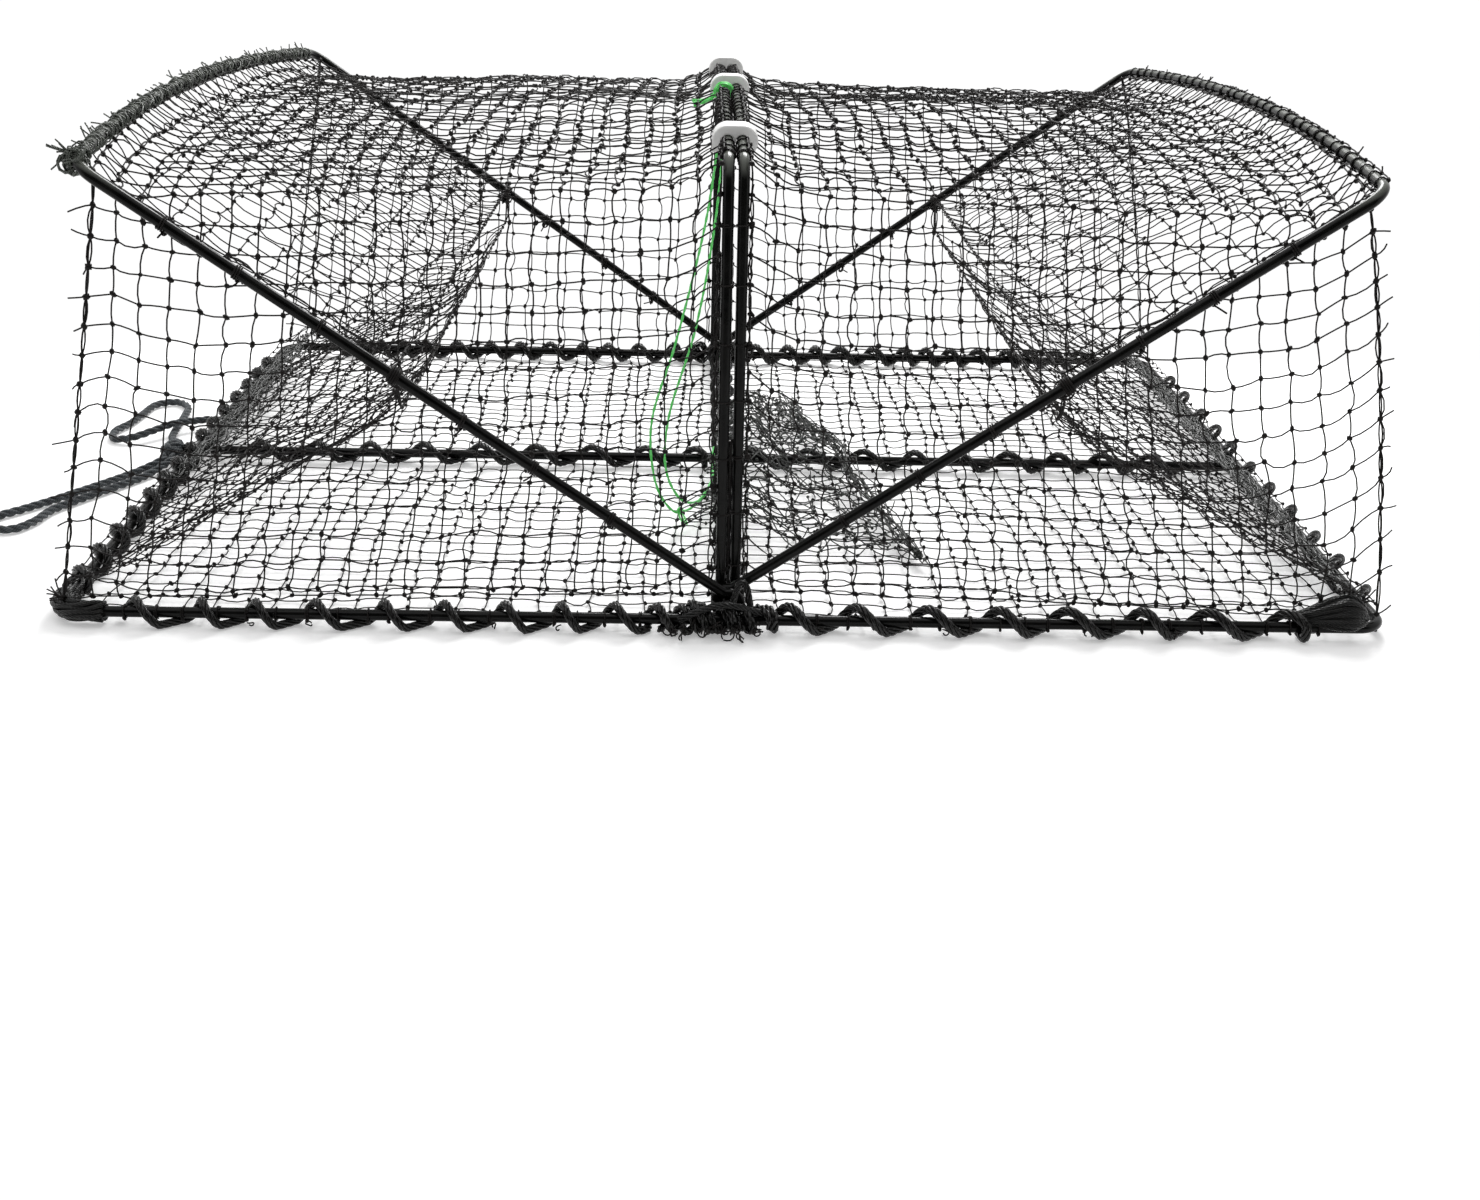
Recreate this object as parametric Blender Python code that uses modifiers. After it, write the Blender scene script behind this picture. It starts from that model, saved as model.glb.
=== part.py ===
"""A folding crayfish trap: a rod frame with two pairs of hinged bows, dressed with netting, standing open."""

import math

import bmesh
import bpy
from mathutils import Quaternion, Vector

# Driving dimensions, in metres
BASE_LENGTH = 0.600
BASE_WIDTH = 0.450
BASE_CORNER_RADIUS = 0.012
ROD_DIAMETER = 0.005
CLEARANCE = 0.0003
NET_THICKNESS = 0.0012
FLOOR_CUT = 0.0005

OUTER_ARM = 0.327
OUTER_ANGLE = math.radians(35)
OUTER_ARCH = 0.015
OUTER_CORNER_RADIUS = 0.012

INNER_ARM = 0.191
INNER_TOP_WIDTH = 0.384
INNER_ARCH = 0.008
INNER_CORNER_RADIUS = 0.012
BAR_SPACING = 0.0066

EYE_STEPS = 14
EYE_MOUTH = math.radians(26)
EYE_NECK_RADIUS = 0.0035
EYE_SIDE_GAP = 0.0004

TWINE_DIAMETER = 0.0022
TURN_POINTS = 8

CLIP_LENGTH = 0.011
CLIP_WALL = 0.0042
CLIP_LEG_DROP = 0.005
CLIP_WEB_DROP = 0.001
CLIP_LIP_ANGLE = math.radians(-50)
CLIP_SHARES = {"clip_front": 0.12, "clip_middle": 0.52, "clip_rear": 0.87}

SLIT_X = 0.144
SLIT_HEIGHT = 0.108
SLIT_GAPE = 0.020
FUNNEL_MARGIN = 0.0015
ROOF_SAG = 0.008

BAG_LEFT_EDGE = (
    (-0.025, -0.137), (-0.024, -0.120), (-0.012, -0.104), (-0.009, -0.080), (-0.009, -0.035), (-0.008, 0.010),
    (0.004, 0.055), (0.027, 0.113),
)
BAG_RIGHT_EDGE = ((0.097, -0.147), (0.087, -0.105), (0.076, -0.050), (0.066, -0.005), (0.057, 0.045), (0.043, 0.113))
BAG_FLOOR_GAP = 0.004
BAG_SWELL = 0.022
BAG_EDGE_SHARE = 0.13
BAG_DRAPE = 0.016

GREEN_DIAMETER = 0.0012
GREEN_KNOT_DIAMETER = 0.006
GREEN_KNOT_SHARE = 0.47

ROPE_DIAMETER = 0.0045
ROPE_KNOT_SIZE = (0.014, 0.018, 0.012)
ROPE_KNOT_Y = -0.002

# Sizes that follow from the driving dimensions
ROD_RADIUS = ROD_DIAMETER / 2
TWINE_RADIUS = TWINE_DIAMETER / 2
HALF_LENGTH = BASE_LENGTH / 2
HALF_WIDTH = BASE_WIDTH / 2
NET_HALF = NET_THICKNESS / 2
NET_STEP = ROD_RADIUS + CLEARANCE + NET_HALF
TURN_RADIUS = (ROD_RADIUS + CLEARANCE + TWINE_RADIUS) / math.cos(math.pi / TURN_POINTS)
LASHED_RADIUS = TURN_RADIUS + TWINE_RADIUS
RING_Z = NET_THICKNESS - FLOOR_CUT + CLEARANCE + LASHED_RADIUS
CROSS_Z = RING_Z + ROD_DIAMETER + CLEARANCE
BAR_X = BAR_SPACING / 2
INNER_TOP_Y = INNER_TOP_WIDTH / 2
EYE_RADIUS = (ROD_DIAMETER + CLEARANCE) / math.cos(math.pi / EYE_STEPS)
EYE_REACH = EYE_RADIUS + ROD_RADIUS
EYE_STEP_Y = ROD_DIAMETER + EYE_SIDE_GAP
FIRST_EYE_Y = HALF_WIDTH - ROD_DIAMETER - EYE_SIDE_GAP
EYE_ORDER = ("left_outer_bow", "right_outer_bow", "left_inner_bow", "right_inner_bow")
EYE_Y = {name: FIRST_EYE_Y - i * EYE_STEP_Y for i, name in enumerate(EYE_ORDER)}
WALL_Y = HALF_WIDTH - NET_STEP
WALL_FOOT_Z = RING_Z + math.sqrt(LASHED_RADIUS**2 - (HALF_WIDTH - WALL_Y) ** 2) + 2 * NET_HALF + CLEARANCE

# Net cells, as counts along and across each panel
FLOOR_CELLS = (9, 6)
WALL_ROWS = 3
ROOF_ROWS = 6
BODY_COLUMNS = 4
FUNNEL_CELLS = (2, 6)
BAG_CELLS = (10, 14)

COLLECTION = "crayfish_trap"
CUTTERS = "cutters"


def clear_scene():
    """Remove every object that the file opened with."""
    for obj in list(bpy.data.objects):
        bpy.data.objects.remove(obj)


def material(name, colour, roughness, metallic=0.0):
    """Make a Principled material of one colour."""
    made = bpy.data.materials.new(name)
    made.use_nodes = True
    shader = made.node_tree.nodes["Principled BSDF"]
    shader.inputs["Base Color"].default_value = (*colour, 1.0)
    shader.inputs["Roughness"].default_value = roughness
    shader.inputs["Metallic"].default_value = metallic
    return made


def add_object(name, data, finish, collection):
    """Link a new object that holds this data and finish."""
    data.materials.append(finish)
    obj = bpy.data.objects.new(name, data)
    collection.objects.link(obj)
    return obj


def fillet(before, corner, after, radius, steps=6):
    """Points of the arc that rounds a corner between two straight runs."""
    back = (before - corner).normalized()
    ahead = (after - corner).normalized()
    half = back.angle(ahead) / 2
    start = corner + back * (radius / math.tan(half))
    centre = corner + (back + ahead).normalized() * (radius / math.sin(half))
    axis = (start - centre).cross(corner + ahead * (radius / math.tan(half)) - centre).normalized()
    turn = math.pi - 2 * half
    return [centre + Quaternion(axis, turn * i / steps) @ (start - centre) for i in range(steps + 1)]


def tube(name, points, radius, finish, collection, sides_step=2, closed=False):
    """A round tube along the points, with filled caps unless it closes on itself."""
    curve = bpy.data.curves.new(name, "CURVE")
    curve.dimensions = "3D"
    curve.bevel_depth = radius
    curve.bevel_resolution = sides_step
    curve.use_fill_caps = not closed
    spline = curve.splines.new("POLY")
    spline.points.add(len(points) - 1)
    for point, place in zip(spline.points, points):
        point.co = (*place, 1.0)
    spline.use_cyclic_u = closed
    return add_object(name, curve, finish, collection)


def smooth_route(anchors, count):
    """Evenly spaced points on a smooth curve through the chosen points of a cord."""
    knots = [Vector(a) for a in anchors]
    ends = [2 * knots[0] - knots[1], *knots, 2 * knots[-1] - knots[-2]]
    fine = []
    for p0, p1, p2, p3 in zip(ends, ends[1:], ends[2:], ends[3:]):
        for step in range(20):
            t = step / 20
            fine.append(
                0.5 * (2 * p1 + (p2 - p0) * t + (2 * p0 - 5 * p1 + 4 * p2 - p3) * t**2
                       + (3 * p1 - p0 - 3 * p2 + p3) * t**3)
            )
    fine.append(knots[-1])
    reach = [0.0]
    for a, b in zip(fine, fine[1:]):
        reach.append(reach[-1] + (b - a).length)
    placed, at = [], 0
    for i in range(count):
        want = reach[-1] * i / (count - 1)
        while at < len(fine) - 2 and reach[at + 1] < want:
            at += 1
        share = (want - reach[at]) / (reach[at + 1] - reach[at])
        placed.append(fine[at].lerp(fine[at + 1], share))
    return placed


def lay_cord(name, anchors, count, radius, finish, collection):
    """A free cord along a smooth route, whose length is printed."""
    points = smooth_route(anchors, count)
    length = sum((b - a).length for a, b in zip(points, points[1:]))
    print(f"{name}: {length * 1000:.0f} mm long")
    return tube(name, points, radius, finish, collection)


def eye_path(offset, y):
    """An open eye bent round the pivot axis, from its free end to its neck at the foot of an arm."""
    hand = math.copysign(1, offset)
    neck_x = abs(offset) + EYE_NECK_RADIUS
    neck_z = math.sqrt((EYE_RADIUS + EYE_NECK_RADIUS) ** 2 - neck_x**2)
    bend = math.atan2(neck_x, neck_z)
    sweep = 2 * math.pi - bend - EYE_MOUTH
    steps = math.ceil(sweep / (2 * math.pi / EYE_STEPS))
    points = []
    for i in range(steps + 1):
        angle = EYE_MOUTH + sweep * i / steps
        points.append(Vector((-hand * EYE_RADIUS * math.sin(angle), y, EYE_RADIUS * math.cos(angle))))
    neck_turn = math.pi / 2 - bend
    for i in range(1, 4):
        angle = neck_turn * (1 - i / 3)
        x = neck_x - EYE_NECK_RADIUS * math.cos(angle)
        points.append(Vector((hand * x, y, neck_z - EYE_NECK_RADIUS * math.sin(angle))))
    return points


def bow_path(foot_y, top_y, arm, arch, corner_radius, offset):
    """Centre line of a U-shaped bow, with an eye round the pivot axis at each foot and an arched crossbar."""
    bar_steps = 12
    bar = []
    for i in range(bar_steps + 1):
        y = -top_y + 2 * top_y * i / bar_steps
        bar.append(Vector((offset, y, arm + arch * (1 - (y / top_y) ** 2))))
    front_eye = eye_path(offset, -foot_y)
    rear_eye = eye_path(offset, foot_y)[::-1]
    front = fillet(front_eye[-1], bar[0], bar[1], corner_radius)
    rear = fillet(bar[-2], bar[-1], rear_eye[0], corner_radius)
    return [*front_eye, *front, *bar[1:-1], *rear, *rear_eye]


def make_bow(name, lean, path, finish, collection):
    """A bow whose origin is on its pivot axis, leaning from upright by this angle."""
    bow = tube(name, path, ROD_RADIUS, finish, collection)
    bow.location = (0, 0, CROSS_Z)
    bow.rotation_euler = (0, lean, 0)
    return bow


def ring_path():
    """Centre line of the base ring, a rectangle with rounded corners."""
    corners = [
        Vector((x * HALF_LENGTH, y * HALF_WIDTH, RING_Z)) for x, y in ((1, 1), (-1, 1), (-1, -1), (1, -1))
    ]
    points = []
    for i, corner in enumerate(corners):
        points += fillet(corners[i - 1], corner, corners[(i + 1) % 4], BASE_CORNER_RADIUS)
    return points


def winding_points(centre, along, up, stops, first_angle):
    """Points of a twine wound about a rod; stops give the distance along it and the turns made by then."""
    across = along.cross(up)
    points = []
    for (start, turns_before), (end, turns_after) in zip(stops, stops[1:]):
        steps = max(1, round((turns_after - turns_before) * TURN_POINTS))
        for i in range(steps):
            share = i / steps
            angle = first_angle + 2 * math.pi * (turns_before + (turns_after - turns_before) * share)
            place = centre + along * (start + (end - start) * share)
            points.append(place + TURN_RADIUS * (up * math.sin(angle) + across * math.cos(angle)))
    last = first_angle + 2 * math.pi * stops[-1][1]
    points.append(centre + along * stops[-1][0] + TURN_RADIUS * (up * math.sin(last) + across * math.cos(last)))
    tail = along * TWINE_DIAMETER
    return [points[0] - tail, *points, points[-1] + tail]


def self_gap(points, diameter):
    """Least gap between turns of a winding, measured between points at least half a turn apart."""
    least = min(
        (points[i] - points[j]).length
        for i in range(len(points))
        for j in range(i + TURN_POINTS // 2, len(points))
    )
    return least - diameter


def make_winding(name, centre, along, up, stops, first_angle, finish, collection):
    """One unbroken lashing about a rod."""
    points = winding_points(centre, along, up, stops, first_angle)
    print(f"{name}: least gap to itself {self_gap(points, TWINE_DIAMETER) * 1000:.2f} mm")
    return tube(name, points, TWINE_RADIUS, finish, collection, sides_step=1)


def centred_stops(reach, turns, knot=None):
    """Stops that are the same on both sides of the middle, with a tight knot of turns near it if asked."""
    if knot is None:
        return [(-reach, -turns / 2), (reach, turns / 2)]
    inner, outer, knot_turns = knot
    return [
        (-reach, -turns / 2 - knot_turns),
        (-outer, -knot_turns),
        (-inner, 0),
        (inner, 0),
        (outer, knot_turns),
        (reach, turns / 2 + knot_turns),
    ]


def make_lashings(finish, collection):
    """The twine wound about each rod of the base."""
    ahead, depth, up = Vector((1, 0, 0)), Vector((0, 1, 0)), Vector((0, 0, 1))
    under, over = -math.pi / 2, math.pi / 2
    side_reach = HALF_LENGTH - 2 * BASE_CORNER_RADIUS
    end_reach = HALF_WIDTH - 2 * BASE_CORNER_RADIUS
    knot_start = EYE_REACH + TWINE_DIAMETER
    knot = (knot_start, knot_start + 3.4 * ROD_DIAMETER, 3)
    for name, side in (("front_lashing", -1), ("rear_lashing", 1)):
        centre = Vector((0, side * HALF_WIDTH, RING_Z))
        make_winding(name, centre, side * -ahead, up, centred_stops(side_reach, 7, knot), under, finish, collection)
    for name, side in (("left_end_lashing", -1), ("right_end_lashing", 1)):
        centre = Vector((side * HALF_LENGTH, 0, RING_Z))
        make_winding(name, centre, side * depth, up, centred_stops(end_reach, 5), 0, finish, collection)
    middle = Vector((0, 0, RING_Z))
    make_winding("long_rod_lashing", middle, ahead, up, centred_stops(side_reach, 7), under, finish, collection)
    bridge = Vector((0, 0, CROSS_Z))
    cross_reach = min(EYE_Y.values()) - 2 * ROD_DIAMETER
    make_winding("cross_rod_lashing", bridge, depth, up, centred_stops(cross_reach, 4), over, finish, collection)


def make_base(finish, collection):
    """The base ring, the rod along its middle and the rod that bridges it from front to rear."""
    tube("base_ring", ring_path(), ROD_RADIUS, finish, collection, closed=True)
    butt = HALF_LENGTH - ROD_RADIUS - CLEARANCE
    long_points = [(-butt, 0, RING_Z), (butt, 0, RING_Z)]
    tube("base_long_rod", long_points, ROD_RADIUS, finish, collection)
    over = HALF_WIDTH + ROD_RADIUS
    cross_points = [(0, -over, CROSS_Z), (0, over, CROSS_Z)]
    tube("base_cross_rod", cross_points, ROD_RADIUS, finish, collection)


def crossbar_point(y):
    """Place and slope of the inner crossbars' centre line at this depth, for the right bow."""
    height = CROSS_Z + INNER_ARM + INNER_ARCH * (1 - (y / INNER_TOP_Y) ** 2)
    slope = -2 * INNER_ARCH * y / INNER_TOP_Y**2
    return Vector((BAR_X, y, height)), slope


def arc(centre, radius, start, end, steps):
    """Points of an arc in the clip's own plane."""
    angles = [start + (end - start) * i / steps for i in range(steps + 1)]
    return [(centre[0] + radius * math.cos(a), centre[1] + radius * math.sin(a)) for a in angles]


def clip_outline():
    """Outline of the double clip: a jaw that hugs the right bar and an open channel over the left bar."""
    bore = ROD_RADIUS + CLEARANCE
    outer = bore + CLIP_WALL
    left = (-BAR_SPACING, 0.0)
    right = (0.0, 0.0)
    web = math.asin(CLIP_WEB_DROP / bore)
    return [
        *arc(right, outer, CLIP_LIP_ANGLE, math.pi / 2, 9),
        *arc(left, outer, math.pi / 2, math.pi, 6),
        (left[0] - outer, -CLIP_LEG_DROP),
        (left[0] - bore, -CLIP_LEG_DROP),
        *arc(left, bore, math.pi, -web, 10),
        *arc(right, bore, math.pi + web, CLIP_LIP_ANGLE, 12),
    ]


def make_clips(finish, collection):
    """The three clips that hold the two inner crossbars together; each turns about the right bar."""
    for name, share in CLIP_SHARES.items():
        place, slope = crossbar_point(-INNER_TOP_Y + share * INNER_TOP_WIDTH)
        curve = bpy.data.curves.new(name, "CURVE")
        curve.dimensions = "2D"
        curve.fill_mode = "BOTH"
        curve.extrude = CLIP_LENGTH / 2
        spline = curve.splines.new("POLY")
        outline = clip_outline()
        spline.points.add(len(outline) - 1)
        for point, (x, y) in zip(spline.points, outline):
            point.co = (x, y, 0, 1)
        spline.use_cyclic_u = True
        clip = add_object(name, curve, finish, collection)
        clip.location = place
        clip.rotation_euler = (math.pi / 2 + math.atan(slope), 0, 0)


def net_from_grid(name, columns, rows, place, finish, collection):
    """An open net of square strands over a grid of places, one gap to each cell."""
    mesh = bpy.data.meshes.new(name)
    grid = bmesh.new()
    corners = [[grid.verts.new(place(i / columns, j / rows)) for j in range(rows + 1)] for i in range(columns + 1)]
    for i in range(columns):
        for j in range(rows):
            grid.faces.new((corners[i][j], corners[i + 1][j], corners[i + 1][j + 1], corners[i][j + 1]))
    grid.to_mesh(mesh)
    grid.free()
    net = add_object(name, mesh, finish, collection)
    strands = net.modifiers.new("strands", "WIREFRAME")
    strands.thickness = NET_THICKNESS
    strands.use_even_offset = False
    strands.use_boundary = True
    strands.use_replace = True
    return net


def floor_place(across, deep):
    """A point of the floor net, which lies flat under the rods, its underside cut flat."""
    half_x = HALF_LENGTH - BASE_CORNER_RADIUS / 4
    half_y = HALF_WIDTH - BASE_CORNER_RADIUS / 4
    return (half_x * (2 * across - 1), half_y * (2 * deep - 1), NET_HALF - FLOOR_CUT)


def cut_flat(net, cutters):
    """Cut away what lies below the ground, so that the net rests on a flat face."""
    depth = 10 * NET_THICKNESS
    mesh = bpy.data.meshes.new("ground_cutter")
    block = bmesh.new()
    bmesh.ops.create_cube(block, size=1.0)
    bmesh.ops.scale(block, vec=Vector((1.2 * BASE_LENGTH, 1.2 * BASE_WIDTH, depth)), verts=block.verts)
    block.to_mesh(mesh)
    block.free()
    cutter = bpy.data.objects.new("ground_cutter", mesh)
    cutter.location = (0, 0, -depth / 2)
    cutter.hide_render = True
    cutter.display_type = "WIRE"
    cutters.objects.link(cutter)
    flat = net.modifiers.new("flat_underside", "BOOLEAN")
    flat.operation = "DIFFERENCE"
    flat.object = cutter


def outer_bar_point(side, y, inset):
    """A point beside an outer bow's crossbar, this far inside it in the bow's own plane."""
    reach = OUTER_ARM + OUTER_ARCH * (1 - (y / HALF_WIDTH) ** 2) - inset
    along = reach * math.cos(OUTER_ANGLE) - BAR_X * math.sin(OUTER_ANGLE)
    rise = reach * math.sin(OUTER_ANGLE) + BAR_X * math.cos(OUTER_ANGLE)
    return Vector((side * along, y, CROSS_Z + rise))


def clip_sweep():
    """How far a turning clip reaches from the right bar, past the left bar's side."""
    bore = ROD_RADIUS + CLEARANCE
    return math.hypot(BAR_SPACING + bore + CLIP_WALL, CLIP_LEG_DROP)


def edge_profile(around, foot, top, top_z, arch):
    """Depth and height of a body net's edge: up the front wall, over the roof and down the rear wall."""
    wall_share = WALL_ROWS / (2 * WALL_ROWS + ROOF_ROWS)
    mirror = -1 if around < 0.5 else 1
    rise = min(around, 1 - around) / wall_share
    if rise < 1:
        return mirror * (foot + (top - foot) * rise), WALL_FOOT_Z + (top_z - WALL_FOOT_Z) * rise, rise
    y = (around - 0.5) / (0.5 - wall_share) * top
    return y, top_z + arch * (1 - (y / top) ** 2), 1.0


def body_net_place(side):
    """The place function of one side's body net, between its inner bow and its outer bow."""
    foot_y = EYE_Y["left_inner_bow" if side < 0 else "right_inner_bow"]
    inner_gap = clip_sweep() - BAR_X + CLEARANCE + NET_HALF
    bar_y = HALF_WIDTH - NET_STEP - OUTER_CORNER_RADIUS / 3
    corner = outer_bar_point(side, HALF_WIDTH, NET_STEP + OUTER_CORNER_RADIUS / 3)

    def outer_edge(around):
        y, _, rise = edge_profile(around, WALL_Y, bar_y, corner.z, 0)
        if rise < 1:
            foot = Vector((side * (HALF_LENGTH - NET_STEP), y, WALL_FOOT_Z))
            return foot.lerp(Vector((corner.x, y, corner.z)), rise)
        share = abs(y) / bar_y
        return outer_bar_point(side, y, NET_STEP + OUTER_CORNER_RADIUS / 3 * share**4)

    def inner_edge(around):
        y, z, rise = edge_profile(around, foot_y, INNER_TOP_Y, CROSS_Z + INNER_ARM, INNER_ARCH)
        wall_x = EYE_REACH + CLEARANCE + NET_HALF
        return Vector((side * (wall_x + (inner_gap - wall_x) * rise**2), y, z))

    def place(outward, around):
        point = inner_edge(around).lerp(outer_edge(around), outward)
        point.z -= ROOF_SAG * math.sin(math.pi * outward) * math.sin(math.pi * around) ** 4
        return point

    return place


def wall_depth(x, z):
    """How far from the middle plane the wall net stands at this length and height."""
    foot_y = EYE_Y["right_inner_bow"]
    inner = foot_y - (foot_y - INNER_TOP_Y) * max(0.0, (z - WALL_FOOT_Z) / INNER_ARM)
    return inner + (WALL_Y - inner) * min(1.0, abs(x) / (HALF_LENGTH - OUTER_CORNER_RADIUS))


def funnel_place(side, upper):
    """The place function of a funnel panel, from the trap's end inwards to the lip of the slit."""
    if upper:
        bar = outer_bar_point(1, HALF_WIDTH, 0)
        start_x = bar.x + NET_STEP * math.sin(OUTER_ANGLE)
        start_z = bar.z - NET_STEP * math.cos(OUTER_ANGLE)
        lip_z = SLIT_HEIGHT + SLIT_GAPE / 2
    else:
        start_x = HALF_LENGTH
        start_z = RING_Z + LASHED_RADIUS + CLEARANCE + NET_HALF
        lip_z = SLIT_HEIGHT - SLIT_GAPE / 2

    def place(inward, deep):
        x = start_x + (SLIT_X - start_x) * inward
        z = start_z + (lip_z - start_z) * inward
        half = wall_depth(x, z) - NET_THICKNESS - CLEARANCE - FUNNEL_MARGIN
        half -= 2 * BASE_CORNER_RADIUS / 3 * (1 - inward) ** 2
        y = half * (2 * deep - 1)
        if upper:
            bow = OUTER_ARCH * (1 - (y / HALF_WIDTH) ** 2) * (1 - inward)
            x += bow * math.cos(OUTER_ANGLE)
            z += bow * math.sin(OUTER_ANGLE)
        return (side * x, y, z)

    return place


def make_nets(finish, collection, cutters):
    """The floor net, the two body nets and the two panels of each funnel."""
    floor = net_from_grid("floor_net", *FLOOR_CELLS, floor_place, finish, collection)
    cut_flat(floor, cutters)
    body_rows = 2 * WALL_ROWS + ROOF_ROWS
    for label, side in (("left", -1), ("right", 1)):
        net_from_grid(
            f"{label}_body_net", BODY_COLUMNS, body_rows, body_net_place(side), finish, collection
        )
        for panel, upper in (("upper", True), ("lower", False)):
            net_from_grid(
                f"{label}_funnel_{panel}", *FUNNEL_CELLS, funnel_place(side, upper), finish, collection
            )


def draped_height(x, y):
    """Height of a slack net that lies over the base's two inner rods and on the floor net beside them."""
    over_cross = CROSS_Z + LASHED_RADIUS + CLEARANCE
    over_long = RING_Z + LASHED_RADIUS + CLEARANCE
    height = BAG_FLOOR_GAP
    for top, distance in ((over_cross, abs(x)), (over_long, abs(y))):
        away = min(1.0, max(0.0, distance / BAG_DRAPE - 1))
        fall = away * away * (3 - 2 * away)
        height = max(height, top + (BAG_FLOOR_GAP - top) * fall)
    return height


def bag_swell(across, deep):
    """Share of the bag's full swell at this place: none at its edges, with slanting folds between them."""
    crown = math.sin(math.pi * across) ** 0.7 * math.sin(math.pi * deep) ** 0.6
    fold = math.cos(2 * math.pi * (1.5 * across + 1.2 * deep))
    return crown * (0.72 + 0.28 * fold)


def make_bag(finish, collection):
    """The bait bag, a slack pouch of netting crumpled over the crossing of the two inner rods."""
    columns, rows = BAG_CELLS
    left = smooth_route([(x, y, 0) for x, y in BAG_LEFT_EDGE], rows + 1)
    right = smooth_route([(x, y, 0) for x, y in BAG_RIGHT_EDGE], rows + 1)
    mesh = bpy.data.meshes.new("bait_bag")
    sheet = bmesh.new()
    bmesh.ops.create_grid(sheet, x_segments=columns, y_segments=rows, size=0.5)
    swells = []
    for vert in sheet.verts:
        across, deep = vert.co.x + 0.5, vert.co.y + 0.5
        row = round(deep * rows)
        vert.co = left[row].lerp(right[row], across)
        vert.co.z = draped_height(vert.co.x, vert.co.y)
        swells.append(bag_swell(across, deep))
    sheet.to_mesh(mesh)
    sheet.free()
    mesh.shade_smooth()
    bag = add_object("bait_bag", mesh, finish, collection)
    fullness = bag.vertex_groups.new(name="fullness")
    for number, swell in enumerate(swells):
        fullness.add([number], swell, "REPLACE")
    pouch = bag.modifiers.new("pouch", "SOLIDIFY")
    pouch.thickness = BAG_SWELL
    pouch.offset = 1.0
    pouch.vertex_group = "fullness"
    pouch.thickness_vertex_group = BAG_EDGE_SHARE


def ellipsoid(name, centre, size, finish, collection):
    """A small round lump, such as a knot."""
    mesh = bpy.data.meshes.new(name)
    shape = bmesh.new()
    bmesh.ops.create_uvsphere(shape, u_segments=12, v_segments=8, radius=0.5)
    bmesh.ops.scale(shape, vec=Vector(size), verts=shape.verts)
    shape.to_mesh(mesh)
    shape.free()
    mesh.shade_smooth()
    lump = add_object(name, mesh, finish, collection)
    lump.location = centre
    return lump


def make_green_twine(finish, collection):
    """The green bait twine: a knot under the left inner crossbar and two strands down to the cross rod."""
    bar, _ = crossbar_point(-INNER_TOP_Y + GREEN_KNOT_SHARE * INNER_TOP_WIDTH)
    knot_radius = GREEN_KNOT_DIAMETER / 2
    knot = Vector((-BAR_X, bar.y, bar.z - ROD_RADIUS - CLEARANCE - knot_radius))
    ellipsoid("green_knot", knot, [GREEN_KNOT_DIAMETER] * 3, finish, collection)
    exit_z = knot.z - knot_radius - CLEARANCE
    spread = GREEN_DIAMETER
    long_route = (
        (-0.012, -0.050, 0.150), (-0.026, -0.078, 0.096), (-0.038, -0.094, 0.058), (-0.036, -0.102, 0.028),
        (-0.027, -0.102, 0.012), (-0.0185, -0.094, 0.010), (-0.0115, -0.080, 0.0112), (-0.007, -0.062, 0.0134),
        (-0.0062, -0.038, 0.0142), (-0.0062, -0.012, 0.0142),
    )
    short_route = (
        (-0.007, -0.046, 0.150), (-0.016, -0.072, 0.102), (-0.029, -0.086, 0.060), (-0.031, -0.094, 0.034),
        (-0.024, -0.098, 0.018), (-0.015, -0.090, 0.0125), (-0.009, -0.074, 0.014), (-0.0058, -0.056, 0.0158),
        (-0.0052, -0.034, 0.0162), (-0.0052, -0.010, 0.0162),
    )
    for name, offset, route in (
        ("green_strand_long", -spread, long_route),
        ("green_strand_short", spread, short_route),
    ):
        start = (knot.x + offset, knot.y, exit_z)
        below = (knot.x + offset, knot.y, exit_z - 4 * GREEN_DIAMETER)
        lay_cord(name, (start, below, *route), 22, GREEN_DIAMETER / 2, finish, collection)


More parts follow.
